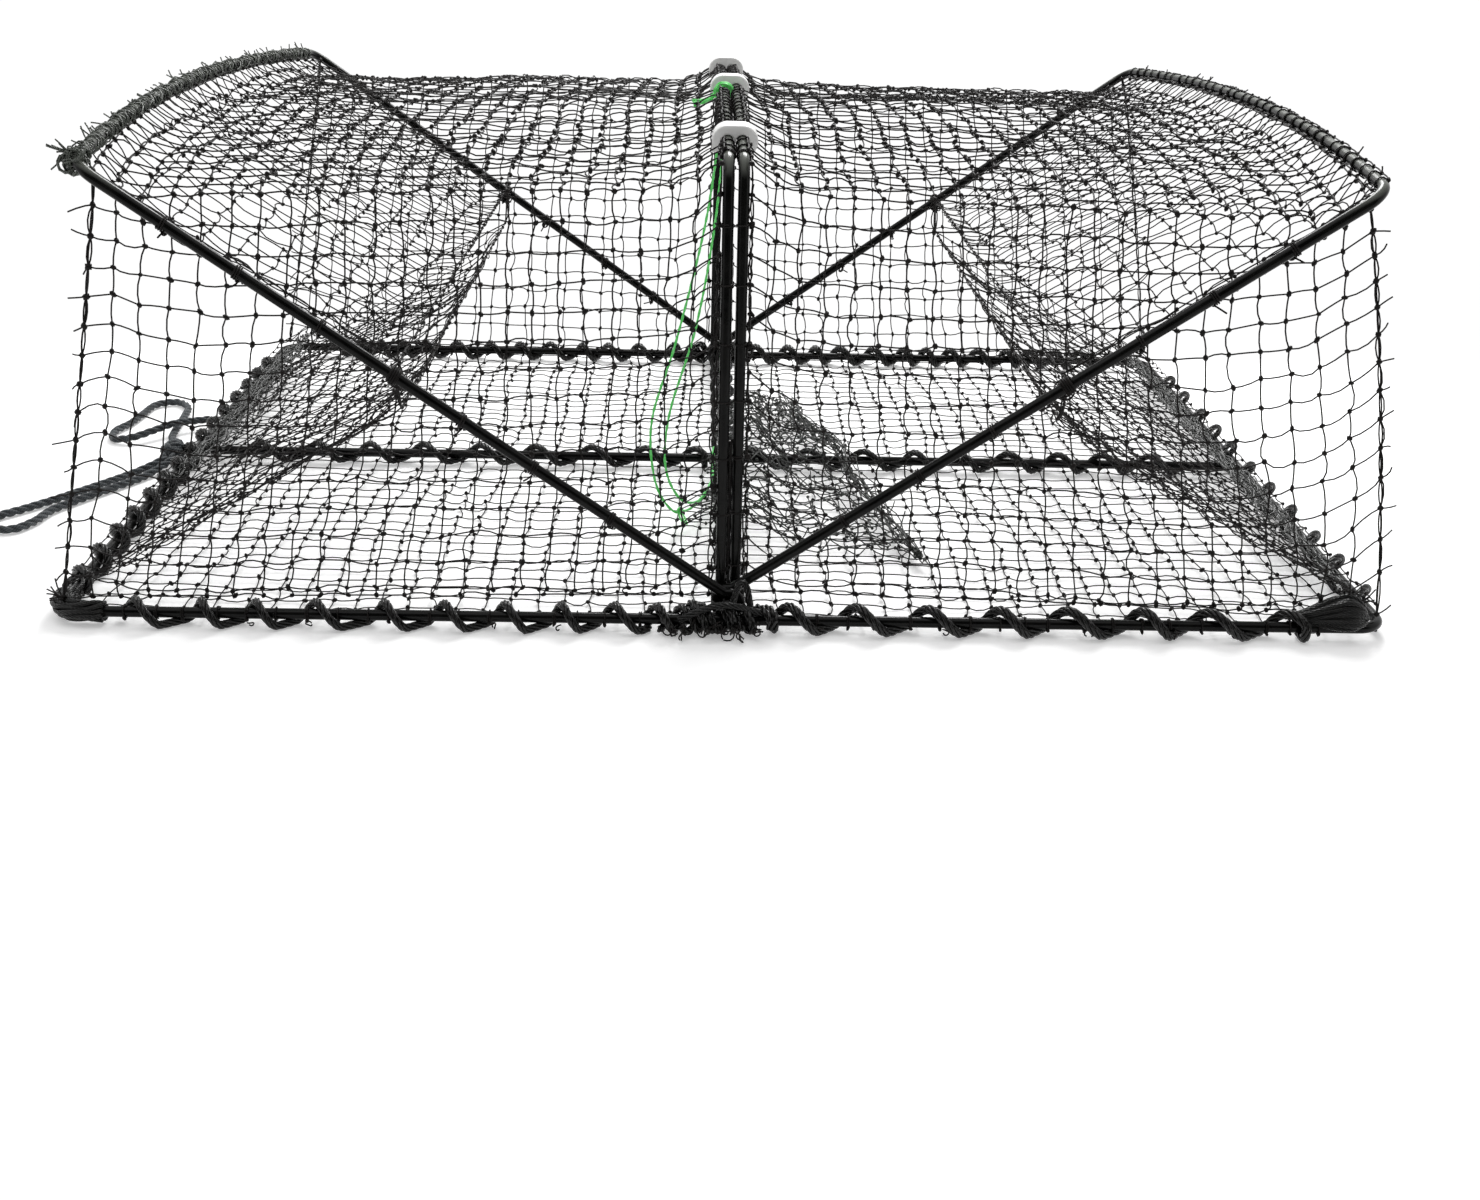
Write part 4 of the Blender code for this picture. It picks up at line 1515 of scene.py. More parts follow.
@dataclass
class Lashings:
    """Laid twine wound round the base rods, with a tight bundle by the bows' feet."""

    shop: Workshop
    strand: float = 0.00062
    lay: float = 0.00118
    twist: float = 0.021
    strands: int = 6
    foot_clear: float = 0.0095
    coil_y: float = -0.2225
    coil_z: float = 0.0086
    coil_swell: float = 0.0122
    turn_reach: float = 0.0037
    sizes: TrapSizes = SIZES

    def wound(self, path: Points, kind: Winding, outward: Vector, low_z: float = 0.0021) -> Points:
        """The line of a twine wound round a rod.

        Args:
            path: The rod's centre line.
            kind: How the twine goes round.
            outward: Direction on whose side the loops hang.
            low_z: Lowest height of the twine's line.

        Returns:
            The line's points.
        """
        noise = self.shop.random
        lengths = reaches(path)
        axes = np.array([tuple(p) for p in path])
        line, at, steps = [], 0.0, 20
        while at < lengths[-1] - 0.3 * kind.pitch:
            pitch = kind.pitch * noise.uniform(1 - kind.uneven, 1 + kind.uneven)
            high, low = (
                kind.tight + (peak - kind.tight) * noise.uniform(0.75, 1.12)
                for peak in (kind.hump, kind.loop)
            )
            for i in range(steps):
                here = min(at + pitch * i / steps, lengths[-1] - 1e-6)
                k = int(np.searchsorted(lengths, here, "right")) - 1
                centre = Vector([float(np.interp(here, lengths, axes[:, n])) for n in range(3)])
                tangent = (path[k + 1] - path[k]).normalized()
                out = tangent.cross(UP).normalized()
                out = out if out.dot(outward) > 0 else -out
                turned = i / steps - kind.rush * math.cos(2 * math.pi * i / steps) / (2 * math.pi)
                angle = kind.hump_angle + math.pi / 2 - 2 * math.pi * turned
                radius = kind.reach(angle, high, low)
                inner = out.dot(centre) * math.cos(angle) < 0 and abs(centre.y) > 0.2
                if inner and abs(centre.x) < self.foot_clear:
                    radius *= 1 - 0.75 * min(1.0, -math.cos(angle) * math.copysign(1, out.dot(centre)) * 2)
                spot = centre + radius * (out * math.cos(angle) + UP * math.sin(angle))
                spot.z = max(spot.z, low_z)
                line.append(spot)
            at += pitch
        return line

    def lash(self, name: str, node: str, lines: list[Points], thick: float = 1.0, strands: int = 0) -> None:
        """Make a lashing, which may stand for a CAD node.

        Args:
            name: The piece's name.
            node: The CAD node that it stands for, or nothing.
            lines: Centre lines of its twine.
            thick: The twine's thickness against the usual one.
            strands: How many strands a slacker twine has, or 0 for the usual one.
        """
        strand = self.strand * thick
        lay, twist = (strand * 1.05, 0.014) if strands else (self.lay * thick, self.twist * thick)
        obj = self.shop.cord(name, lines, TWINE, strands or self.strands, strand, lay, twist, 0.0013)
        self.shop.fit(obj, TWINE, "base", node)

    def bundle(self, side: int) -> list[Points]:
        """Slanting turns of rope over each other round the base rod by the bows' feet.

        Args:
            side: -1 on the front rod, 1 on the rear rod.

        Returns:
            The turns' lines.
        """
        s = self.sizes
        noise = self.shop.random
        lines = []
        for k in range(5):
            middle = Vector((-0.008 + 0.003 * math.sin(2.4 * k), side * s.half_width, s.ring_z))
            reach = Vector((0.029 - 0.0042 * k, 0, 0))
            radius = 0.0050 + 0.0007 * k
            high = radius + noise.uniform(0.0002, 0.0010)
            kind = Winding(0.0165 + 0.0015 * k, radius, high, radius, math.radians(100) + 2.3 * k)
            lines.append(self.wound([middle - reach, middle + reach], kind, Vector((0, side, 0)), 0.0030))
        return lines

    def corner_coil(self) -> list[Points]:
        """Strands side by side that lie over the front rod by its right corner.

        Returns:
            The strands' lines.
        """
        noise = self.shop.random
        lines = []
        for k in range(19):
            lean = math.radians(-4 + 9.0 * k)
            swell = self.coil_swell * noise.uniform(0.84, 1.04)
            start, end = 0.2540 + noise.uniform(0, 0.008), 0.2905 + noise.uniform(-0.002, 0.0015)
            line, steps = [], 16
            for i in range(steps + 1):
                share = i / steps
                away = swell * math.sin(math.pi * (0.03 + 0.93 * share**2.1)) ** 0.65
                line.append(Vector((
                    start + (end - start) * share,
                    self.coil_y - away * math.cos(lean) * 0.7,
                    self.coil_z + away * math.sin(lean),
                )))
            lines.append(line)
        return lines

    def corner_turns(self) -> list[Points]:
        """Strands laid side by side along the bend of the front left corner.

        Returns:
            The strands' lines.
        """
        s = self.sizes
        corner = Vector((-s.half_length, -s.half_width, s.ring_z))
        right, back = Vector((1, 0, 0)), Vector((0, 1, 0))
        bend = fillet(corner + right * 0.1, corner, corner + back * 0.1, s.ring_corner)
        bend = smooth_line([corner + right * 0.024, *bend, corner + back * 0.040], 0.0022)
        lines = []
        for k in range(12):
            line = []
            for i in range(1, len(bend) - 1):
                ahead = (bend[i + 1] - bend[i - 1]).normalized()
                out = ahead.cross(UP)
                angle = math.radians(30 * k) + 1.6 * i / len(bend) + 0.12 * math.sin(i * 0.9 + k)
                reach = self.turn_reach + 0.0008 * math.sin(0.5 * i + 2 * k)
                spot = bend[i] + reach * (out * math.cos(angle) + UP * math.sin(angle))
                spot.z = max(spot.z, 0.0014)
                line.append(spot)
            lines.append(line)
        return lines

    def strays(self) -> None:
        """Make the fine loops and cut ends that stick out of the lashings."""
        s = self.sizes
        noise = self.shop.random
        web = Web()
        for _ in range(34):
            x = noise.uniform(-0.028, 0.014)
            size = noise.uniform(0.0016, 0.0036)
            y = -s.half_width - noise.uniform(0.005, 0.0125)
            web.clump(Vector((x, y, noise.uniform(0.001, 0.006) + size * 0.6)), size, 1, noise)
        for x in np.arange(-0.27, 0.28, 0.0135):
            if abs(x) < 0.03:
                continue
            centre = Vector((x + noise.normal(0, 0.0015), -s.half_width, s.ring_z))
            start = noise.uniform(0, ANY_ANGLE)
            web.turns(centre, Vector((1, 0, 0)), s.hugging, 1.3, 0.0008, start)
            web.knot(centre + Vector((0, -0.0026, -0.0022)))
            if noise.uniform() < 0.35:
                web.clump(centre + Vector((0.002, -0.004, -0.003)), 0.0021, 1, noise)
        for centre, count in ((Vector((0.291, -0.214, 0.014)), 5), (Vector((-0.296, -0.222, 0.010)), 7)):
            for _ in range(count):
                web.tag(centre, Vector((centre.x, -0.1, 0.35)), noise.uniform(0.005, 0.010), noise)
        self.shop.fit(self.shop.web("stray_twine_ends", web, NETTING, 0.00036, 0.0010, 5), NETTING, "base")

    def foot_loops(self) -> list[Points]:
        """Slack loops of twine that stand up beside the inner bows' front feet.

        Returns:
            The loops' lines.
        """
        y = -self.sizes.half_width
        near = [(0.0005, y - 0.004, 0.0100), (0.0030, y + 0.001, 0.0180), (0.0052, y + 0.003, 0.0232),
                (0.0078, y + 0.003, 0.0222), (0.0094, y + 0.001, 0.0160), (0.0104, y - 0.003, 0.0095)]
        far = [(-0.022, y - 0.005, 0.0080), (-0.013, y - 0.006, 0.0130), (-0.004, y - 0.006, 0.0160),
               (0.004, y - 0.005, 0.0150), (0.011, y - 0.003, 0.0120), (0.017, y - 0.001, 0.0100)]
        return [smooth_line(near, 0.0015), smooth_line(far, 0.0015)]

    def build(self) -> None:
        """Make every lashing."""
        s = self.sizes
        end_x, end_y = s.half_length - 0.028, s.half_width - 0.026
        ahead = Vector((0, -1, 0))
        thick = 1.28
        hugging = s.rod_radius + (self.strand + self.lay) * thick
        snug = s.rod_radius + self.strand + self.lay
        for name, side in (("front", -1), ("rear", 1)):
            y = side * s.half_width
            left = [Vector((-end_x, y, s.ring_z)), Vector((-0.036, y, s.ring_z))]
            right = [Vector((0.020, y, s.ring_z)), Vector((end_x - 0.010, y, s.ring_z))]
            node = f"{name}_lashing"
            if side < 0:
                low = math.radians(-52)
                kind = Winding(0.0262, snug, 0.0058, 0.0066, loop_angle=low, rush=0.45, uneven=0.24)
                other = Winding(0.0310, hugging, 0.0062, 0.0054, rush=0.15, uneven=0.18)
            else:
                kind = Winding(0.0190, snug, 0.0052, 0.0056, uneven=0.3)
                other = Winding(0.0200, hugging, 0.0058, 0.0054, uneven=0.3)
            self.lash(f"{name}_left_twine", node, [self.wound(left, kind, ahead)], 1.1)
            self.lash(f"{name}_twine", node, [self.wound(right, other, ahead, 0.0026)], thick)
            self.lash(f"{name}_bundle", node, self.bundle(side), 1.5, 3)
        self.lash("front_corner_twine", "", [*self.corner_coil(), *self.corner_turns()], 0.66)
        self.lash("foot_twine", "", self.foot_loops(), 0.9)
        wide = Winding(0.026, hugging, 0.0052, 0.0054, math.radians(125))
        steep = Winding(0.035, hugging, 0.0072, 0.0060, math.radians(48), spread=math.radians(46))
        for name, side, kind, thick in (("left", -1, wide, 1.2), ("right", 1, steep, 1.0)):
            path = [Vector((side * s.half_length, y, s.ring_z)) for y in (-end_y, end_y)]
            line = self.wound(path, kind, Vector((side, 0, 0)), 0.0021 * thick)
            self.lash(f"{name}_end_twine", f"{name}_end_lashing", [line], thick)
        lines = []
        kind = Winding(0.0285, hugging, 0.0052, 0.0054, uneven=0.2)
        for ends in ((-end_x, -0.010), (0.010, end_x)):
            path = [Vector((x, 0, s.ring_z)) for x in ends]
            lines.append(self.wound(path, kind, ahead, 0.0026))
        self.lash("long_rod_twine", "long_rod_lashing", lines, 1.05)
        path = [Vector((0, y, s.cross_z)) for y in (-0.190, 0.190)]
        angles = [math.radians(angle) for angle in (20, -120, 42)]
        line = self.wound(path, Winding(0.030, hugging, 0.0078, 0.0050, *angles), Vector((1, 0, 0)))
        self.lash("cross_rod_twine", "cross_rod_lashing", [line])
        self.strays()


CLIP_SHARES = {"front": 0.12, "middle": 0.52, "rear": 0.87}


@dataclass
class Lacings:
    """Thin twine that laces the nets to the bows."""

    shop: Workshop
    strand: float = 0.00042
    knot: float = 0.0011
    ties: int = 34
    outer_strand: float = 0.00036
    clip_room: float = 0.0085
    sizes: TrapSizes = SIZES

    def spot(self, side: int, outer: bool, y: float) -> tuple[Vector, Vector, Vector]:
        """A point of a crossbar, the bar's direction there and the direction out of its bow.

        Args:
            side: -1 on the left, 1 on the right.
            outer: Whether it is an outer bow's crossbar.
            y: Place along the trap's depth.

        Returns:
            The point and both directions.
        """
        s = self.sizes
        place = s.outer_bar if outer else s.inner_bar
        step = 0.001
        tangent = (place(side, y + step) - place(side, y - step)).normalized()
        lean = s.outer_angle if outer else math.radians(60)
        return place(side, y), tangent, Vector((side * math.cos(lean), 0, math.sin(lean)))

    def banded(self, web: Web, side: int, outer: bool) -> None:
        """Tie a crossbar once in each mesh, with a slack strand from tie to tie along its outer side.

        Args:
            web: The web that takes the strands.
            side: -1 on the left, 1 on the right.
            outer: Whether it is an outer bow's crossbar.
        """
        s = self.sizes
        noise = self.shop.random
        reach = 0.2130 if outer else 0.1800
        clips = [] if outer else [(2 * share - 1) * s.inner_top_y for share in CLIP_SHARES.values()]
        last = None
        for k in range(self.ties + 1):
            y = reach * (2 * k / self.ties - 1) + noise.normal(0, 0.0006)
            place, tangent, outward = self.spot(side, outer, y)
            if any(abs(y - clip) < self.clip_room for clip in clips):
                last = None
                continue
            slant = tangent + Vector(noise.normal(0, 0.16, 3))
            turns, start = noise.choice((1.3, 1.3, 2.2)), noise.uniform(0, ANY_ANGLE)
            web.turns(place, slant, s.hugging, turns, 0.0011, start, 10)
            tie = web.knot(place + outward * (s.rod_radius + 0.0010))
            edge = web.knot(place - outward * (s.rod_radius + 0.0012) + Vector(noise.normal(0, 0.0004, 3)))
            if last is not None:
                for a, b, way in ((last[0], tie, 1), (last[1], edge, -1), (last[1], edge, -1)):
                    web.strand(a, b, np.array(outward) * way * noise.uniform(-0.0002, 0.0012), 4)
            last = (tie, edge)
            if outer:
                for _ in range(noise.choice((0, 1, 2)) if y > 0.04 else noise.choice((0, 0, 1))):
                    lean = tangent * noise.uniform(-0.9, 0.9) + UP * 0.5
                    web.tag(Vector(web.points[tie]), outward + lean, noise.uniform(0.0015, 0.0042), noise)

    def wrapped(self, web: Web, side: int) -> None:
        """Cover an outer crossbar with close slanting turns and leave cut ends all along it.

        Args:
            web: The web that takes the strands.
            side: -1 on the left, 1 on the right.
        """
        noise = self.shop.random
        reach, steps = 0.2150, 9
        for pitch, radius, hand in (
            (0.0075, 0.0028, 1), (0.0105, 0.0030, -1), (0.0150, 0.0033, 1), (0.0210, 0.0035, -1),
            (0.0290, 0.0037, 1),
        ):
            y, angle, places = -reach, 0.0, []
            while y < reach:
                place, tangent, outward = self.spot(side, True, y)
                over = tangent.cross(outward)
                away = radius + noise.normal(0, 0.00030)
                places.append(place + away * (outward * math.cos(angle) + over * math.sin(angle)))
                angle += hand * 2 * math.pi / steps
                y += pitch / steps * (1 + 0.5 * math.sin(y * 310 + 9 * radius * hand / MM))
            web.line(places)
        for _ in range(64):
            y = noise.uniform(-reach, reach)
            place, tangent, outward = self.spot(side, True, y)
            lean = tangent * noise.uniform(-2.4, 0.6) + Vector((0, 0, noise.uniform(-0.2, 0.8)))
            web.tag(place + outward * 0.003, outward + lean, noise.uniform(0.002, 0.0062), noise)
        place, tangent, outward = self.spot(side, True, -reach)
        for _ in range(16):
            centre = place + Vector(noise.normal(0, 0.0014, 3)) - tangent * 0.003
            web.turns(centre, tangent + Vector(noise.normal(0, 0.5, 3)), noise.uniform(0.0032, 0.0052), 1.6)
        for _ in range(12):
            lean = Vector((side, -0.5, noise.uniform(-1.2, 0.8)))
            web.tag(place + outward * 0.004, lean, noise.uniform(0.003, 0.0085), noise)

    def arm_spot(self, side: int, mirror: int, reach: float) -> tuple[Vector, Vector]:
        """A point of an outer bow's arm at this distance from the pivot, and the arm's direction.

        Args:
            side: -1 on the left, 1 on the right.
            mirror: -1 for the front arm, 1 for the rear arm.
            reach: Distance from the pivot.

        Returns:
            The point and the direction.
        """
        s = self.sizes
        along, away = s.outer_axes(side)
        foot = s.outer_foot(side)
        depth = foot + (s.half_width - foot) * reach / s.outer_arm
        return Vector((0, mirror * depth, s.cross_z)) + along * reach + away * s.bar_x, along

    def arms(self, web: Web, side: int) -> None:
        """Tie the wall nets and the slit's corners to an outer bow's arms.

        Args:
            web: The web that takes the strands.
            side: -1 on the left, 1 on the right.
        """
        s = self.sizes
        noise = self.shop.random
        net = NetSet(self.shop)
        for mirror in (-1, 1):
            for reach in (0.062, 0.104, 0.143, 0.214, 0.251, 0.288):
                place, along = self.arm_spot(side, mirror, reach + noise.normal(0, 0.003))
                start = noise.uniform(0, ANY_ANGLE)
                web.turns(place, along, s.hugging, 2.4, start=start, steps=10)
                edge = place + Vector((0, -mirror * 0.002, -0.0034))
                web.clump(edge, 0.0019, 3, noise)
                web.tag(edge, Vector((side * 0.4, mirror, -0.5)), noise.uniform(0.003, 0.008), noise)
            place, along = self.arm_spot(side, mirror, 0.178)
            for radius, turns in ((0.0031, 5.2), (0.0039, 3.6)):
                web.turns(place, along, radius, turns, start=noise.uniform(0, ANY_ANGLE), steps=10)
            knot = place + Vector((0, -mirror * 0.0050, -0.0030))
            web.clump(knot, 0.0040, 12, noise)
            for lip in (-1, 1):
                corner = Vector((side * net.slit_x, mirror * 0.2085, net.slit_z + lip * net.slit_gape / 2))
                for _ in range(3):
                    web.span(knot, corner, noise.normal(0, 0.0014, 3), 5, 0.0)

    def uprights(self, web: Web, side: int) -> None:
        """Tie the wall nets to an inner bow's arms, row by row, with a slack strand beside each arm.

        Args:
            web: The web that takes the strands.
            side: -1 on the left, 1 on the right.
        """
        s = self.sizes
        noise = self.shop.random
        ties, parts = 15, 4
        for mirror in (-1, 1):
            chain = []
            for k in range(1, ties):
                up = s.inner_arm * k / ties
                place = Vector((side * s.bar_x, mirror * s.inner_depth(side, up), s.cross_z + up))
                if k % 2:
                    start = noise.uniform(0, ANY_ANGLE)
                    web.turns(place, UP, s.hugging, 1.2, start=start, steps=10)
                beside = place + Vector((side * (s.rod_radius + 0.0013), mirror * 0.0006, 0))
                web.knot(beside)
                if noise.uniform() < 0.5:
                    web.clump(beside, 0.0016, 2, noise)
                for part in range(parts):
                    rise = (part / parts - 0.4) * s.inner_arm / ties
                    chain.append(beside + Vector((*noise.normal(0, 0.0006, 2), rise)))
            web.line(chain)
            heights = [s.cross_z + s.inner_arm * k / 40 for k in range(2, 16)]
            for shift in (0.0002, 0.0005):
                line = []
                for z in heights:
                    y = mirror * s.inner_depth(side, z - s.cross_z) + noise.normal(0, 0.0009)
                    line.append(Vector((side * (shift + 0.00015 * math.sin(310 * z)), y, z)))
                web.line(line)

    def build(self) -> None:
        """Make every lacing."""
        for label, side in HANDS:
            outer, inner, ties = Web(), Web(), Web()
            if side < 0:
                self.wrapped(outer, side)
            else:
                self.banded(outer, side, True)
            self.arms(ties, side)
            self.banded(inner, side, False)
            self.uprights(inner, side)
            pieces = (("outer", outer, "outer"), ("arm", ties, "outer"), ("inner", inner, "inner"))
            for name, web, bow in pieces:
                # The left outer crossbar's wrap gets the twine with painted sheen
                finish = LACING if side < 0 and name == "outer" else NETTING
                strand = self.outer_strand if name == "outer" else self.strand
                obj = self.shop.web(f"{label}_{name}_lacing", web, finish, strand, self.knot, 7)
                self.shop.fit(obj, finish, f"{label}_{bow}")


# Cords


@dataclass
class Cords:
    """The green bait twine and the hauling rope, the free cords of the trap."""

    shop: Workshop
    green: float = 0.0012
    rope: float = 0.0045
    sizes: TrapSizes = SIZES

    def free_cord(
        self, name: str, anchors: list, node: str, diameter: float, finish: Finish, strands: int,
        twist: float, step: float,
    ) -> Piece:
        """A laid cord along a route, whose length is logged.

        Args:
            name: The new piece's name.
            anchors: Points of the route, from the exit to the far end.
            node: The CAD node that it replaces.
            diameter: The cord's diameter.
            finish: Its finish.
            strands: Number of strands laid round each other.
            twist: Length of one turn of the strands.
            step: Distance between the rings of the strands' tubes.

        Returns:
            The new piece, not yet on a body.
        """
        path = smooth_line(anchors, 0.004)
        thick, centre = (0.25, 0.25) if strands > 2 else (0.40, 0.20)
        obj = self.shop.cord(name, [path], finish, strands, thick * diameter, centre * diameter, twist, step)
        self.shop.fit(obj, finish, node=node)
        length = route_length(path)
        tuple(anchors[0])
        LOG.info("%s: %.0f mm long", name, length / MM)
        return obj

    def build(self) -> None:
        """Make the cords and their knots."""
        self.green_strands()
        self.hauling_rope()

    def green_strands(self) -> None:
        """Make the two green strands from the knot at the crossbar down to the bait bag."""
        s = self.sizes
        bar = s.inner_bar(-1, -s.inner_top_y + 0.47 * 2 * s.inner_top_y)
        half = 0.003
        knot = Vector((bar.x, bar.y, bar.z - s.rod_radius - s.clearance - half))
        self.lump("green_hitch", "green_knot", knot, (2 * half,) * 3, GREEN, "left_inner", 0.0006)
        self.green_turns(bar)
        exit_z = knot.z - half - s.clearance
        long_route = (
            (-0.012, -0.050, 0.150), (-0.026, -0.078, 0.096), (-0.038, -0.094, 0.058),
            (-0.036, -0.102, 0.028), (-0.027, -0.102, 0.012), (-0.0185, -0.094, 0.010),
            (-0.0115, -0.080, 0.0112), (-0.007, -0.062, 0.0134), (-0.0062, -0.038, 0.0142),
            (-0.0062, -0.012, 0.0142),
        )
        short_route = (
            (-0.007, -0.046, 0.150), (-0.016, -0.072, 0.102), (-0.029, -0.086, 0.060),
            (-0.031, -0.094, 0.034), (-0.024, -0.098, 0.018), (-0.015, -0.090, 0.0125),
            (-0.009, -0.074, 0.014), (-0.0058, -0.056, 0.0158), (-0.0052, -0.034, 0.0162),
            (-0.0052, -0.010, 0.0162),
        )
        for name, node, offset, route in (
            ("green_line_long", "green_strand_long", -self.green, long_route),
            ("green_line_short", "green_strand_short", self.green, short_route),
        ):
            start = (knot.x + offset, knot.y, exit_z)
            below = (knot.x + offset, knot.y, exit_z - 4 * self.green)
            anchors = [start, below, *route]
            obj = self.free_cord(name, anchors, node, self.green, GREEN, 2, 0.012, 0.0015)
            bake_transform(obj)
        self.green_join()

    def green_join(self) -> None:
        """Make the small knot at the strands' lowest bend, with a cut end."""
        noise = self.shop.random
        place = Vector((-0.0232, -0.0985, 0.0112))
        web = Web()
        web.clump(place, 0.0016, 6, noise)
        for k in range(3):
            end = place + Vector((0.0015 + 0.0012 * k, -0.0075, -0.0040 - 0.0006 * k))
            middle = place.lerp(end, 0.5) + Vector((0.0008 * k - 0.001, 0, 0))
            web.line(smooth_line([place, middle, end], 0.0015))
        self.shop.fit(self.shop.web("green_join", web, GREEN, 0.00048, 0.0008), GREEN, "left_outer")

    def green_turns(self, bar: Vector) -> None:
        """Make the green turns round the left inner crossbar and the bushy cut end beside them.

        Args:
            bar: Where the turns stand on the crossbar.
        """
        noise = self.shop.random
        lines = []
        for k in range(5):
            radius = self.sizes.rod_radius + 0.0008 + 0.0004 * k
            loop = []
            for i in range(26):
                angle = 2 * math.pi * i / 22 + k
                shift = (k % 3 - 1) * 0.0022 + 0.0014 * math.sin(angle + k)
                spot = Vector((radius * math.cos(angle), shift, radius * math.sin(angle)))
                loop.append(bar + spot)
            lines.append(loop)
        for k in range(6):
            end = Vector((-0.0155, -0.005, -0.0050)) + Vector(noise.normal(0, 0.0012, 3))
            middle = Vector((-0.0085, -0.002, -0.0034)) + Vector(noise.normal(0, 0.0006, 3))
            start = Vector((-0.0030, noise.normal(0, 0.0010), 0.0008))
            lines.append(smooth_line([bar + start, bar + middle, bar + end], 0.001))
        obj = self.shop.cord("green_turns", lines, GREEN, 2, 0.00048, 0.00026, 0.012, 0.001)
        self.shop.fit(obj, GREEN, "left_inner")

    def lump(
        self, name: str, node: str, centre: Vector, size: tuple, finish: Finish, body: str, strand: float
    ) -> None:
        """A small ball of wound cord that stands for a knot.

        Args:
            name: The new piece's name.
            node: The CAD node that it replaces.
            centre: Its centre.
            size: Its extents.
            finish: Its finish.
            body: The body that it rides on.
            strand: Radius of the cord.
        """
        half = Vector(size) / 2 - Vector((strand,) * 3)
        lines = []
        for k, tilt in enumerate((0.0, 1.05, 2.1, 0.5, 1.57)):
            turn = Quaternion((0.3, 1, 0.2 * k), tilt) @ Quaternion((1, 0, 0), 0.6 * k)
            loop, steps = [], 24
            for i in range(steps + 1):
                angle = 2 * math.pi * i / steps * 0.96
                p = turn @ Vector((math.cos(angle), math.sin(angle), 0.25 * math.sin(2 * angle + k)))
                p.normalize()
                loop.append(centre + Vector((p.x * half.x, p.y * half.y, p.z * half.z)) * (0.94 + 0.02 * k))
            lines.append(loop)
        obj = self.shop.cord(name, lines, finish, 2, strand * 0.62, strand * 0.5, strand * 9, strand * 0.9)
        self.shop.fit(obj, finish, body, node)

    def hauling_rope(self) -> None:
        """Make the rope's knot at the left end rod, its doubled eye and its loose end."""
        s = self.sizes
        lashed, half_x, half_y = 0.005321, 0.007, 0.009
        knot = Vector((-s.half_length - lashed - s.clearance - half_x, -0.002, s.ring_z))
        size = (2 * half_x, 2 * half_y, 0.012)
        self.lump("rope_hitch", "rope_knot", knot, size, ROPE, "base", 0.0022)
        low = side = self.rope / 2 + s.clearance
        over = low + self.rope + s.clearance
        front, rear = knot.y - half_y - s.clearance, knot.y + half_y + s.clearance
        eye = [
            (knot.x - side, front, knot.z), (knot.x - side, front - 0.006, knot.z - 0.001),
            (-0.326, -0.030, low), (-0.338, -0.050, low), (-0.351, -0.070, low), (-0.364, -0.088, low),
            (-0.375, -0.102, low), (-0.374, -0.116, low), (-0.360, -0.118, low), (-0.353, -0.106, low),
            (-0.350, -0.090, low), (-0.341, -0.073, low), (-0.330, -0.055, low), (-0.319, -0.036, low),
            (knot.x + side, front - 0.006, knot.z - 0.001), (knot.x + side, front, knot.z),
        ]
        tail = [
            (knot.x, rear, knot.z), (knot.x - 0.001, rear + 0.007, knot.z - 0.001),
            (-0.323, 0.030, low), (-0.326, 0.050, low), (-0.328, 0.072, low), (-0.331, 0.092, low),
            (-0.341, 0.103, low), (-0.352, 0.096, low), (-0.354, 0.078, low), (-0.356, 0.058, low),
            (-0.360, 0.042, low), (-0.356, 0.028, low), (-0.344, 0.026, low + 0.002),
            (-0.334, 0.034, over - 0.001), (-0.325, 0.045, over), (-0.316, 0.053, over - 0.001),
            (-0.308, 0.057, s.ring_z),
        ]
        for name, node, route in (("rope_loop", "rope_eye", eye), ("rope_end", "rope_tail", tail)):
            obj = self.free_cord(name, route, node, self.rope, ROPE, 3, 0.016, 0.0009)
            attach(obj, "base")


# Bait bag and clips


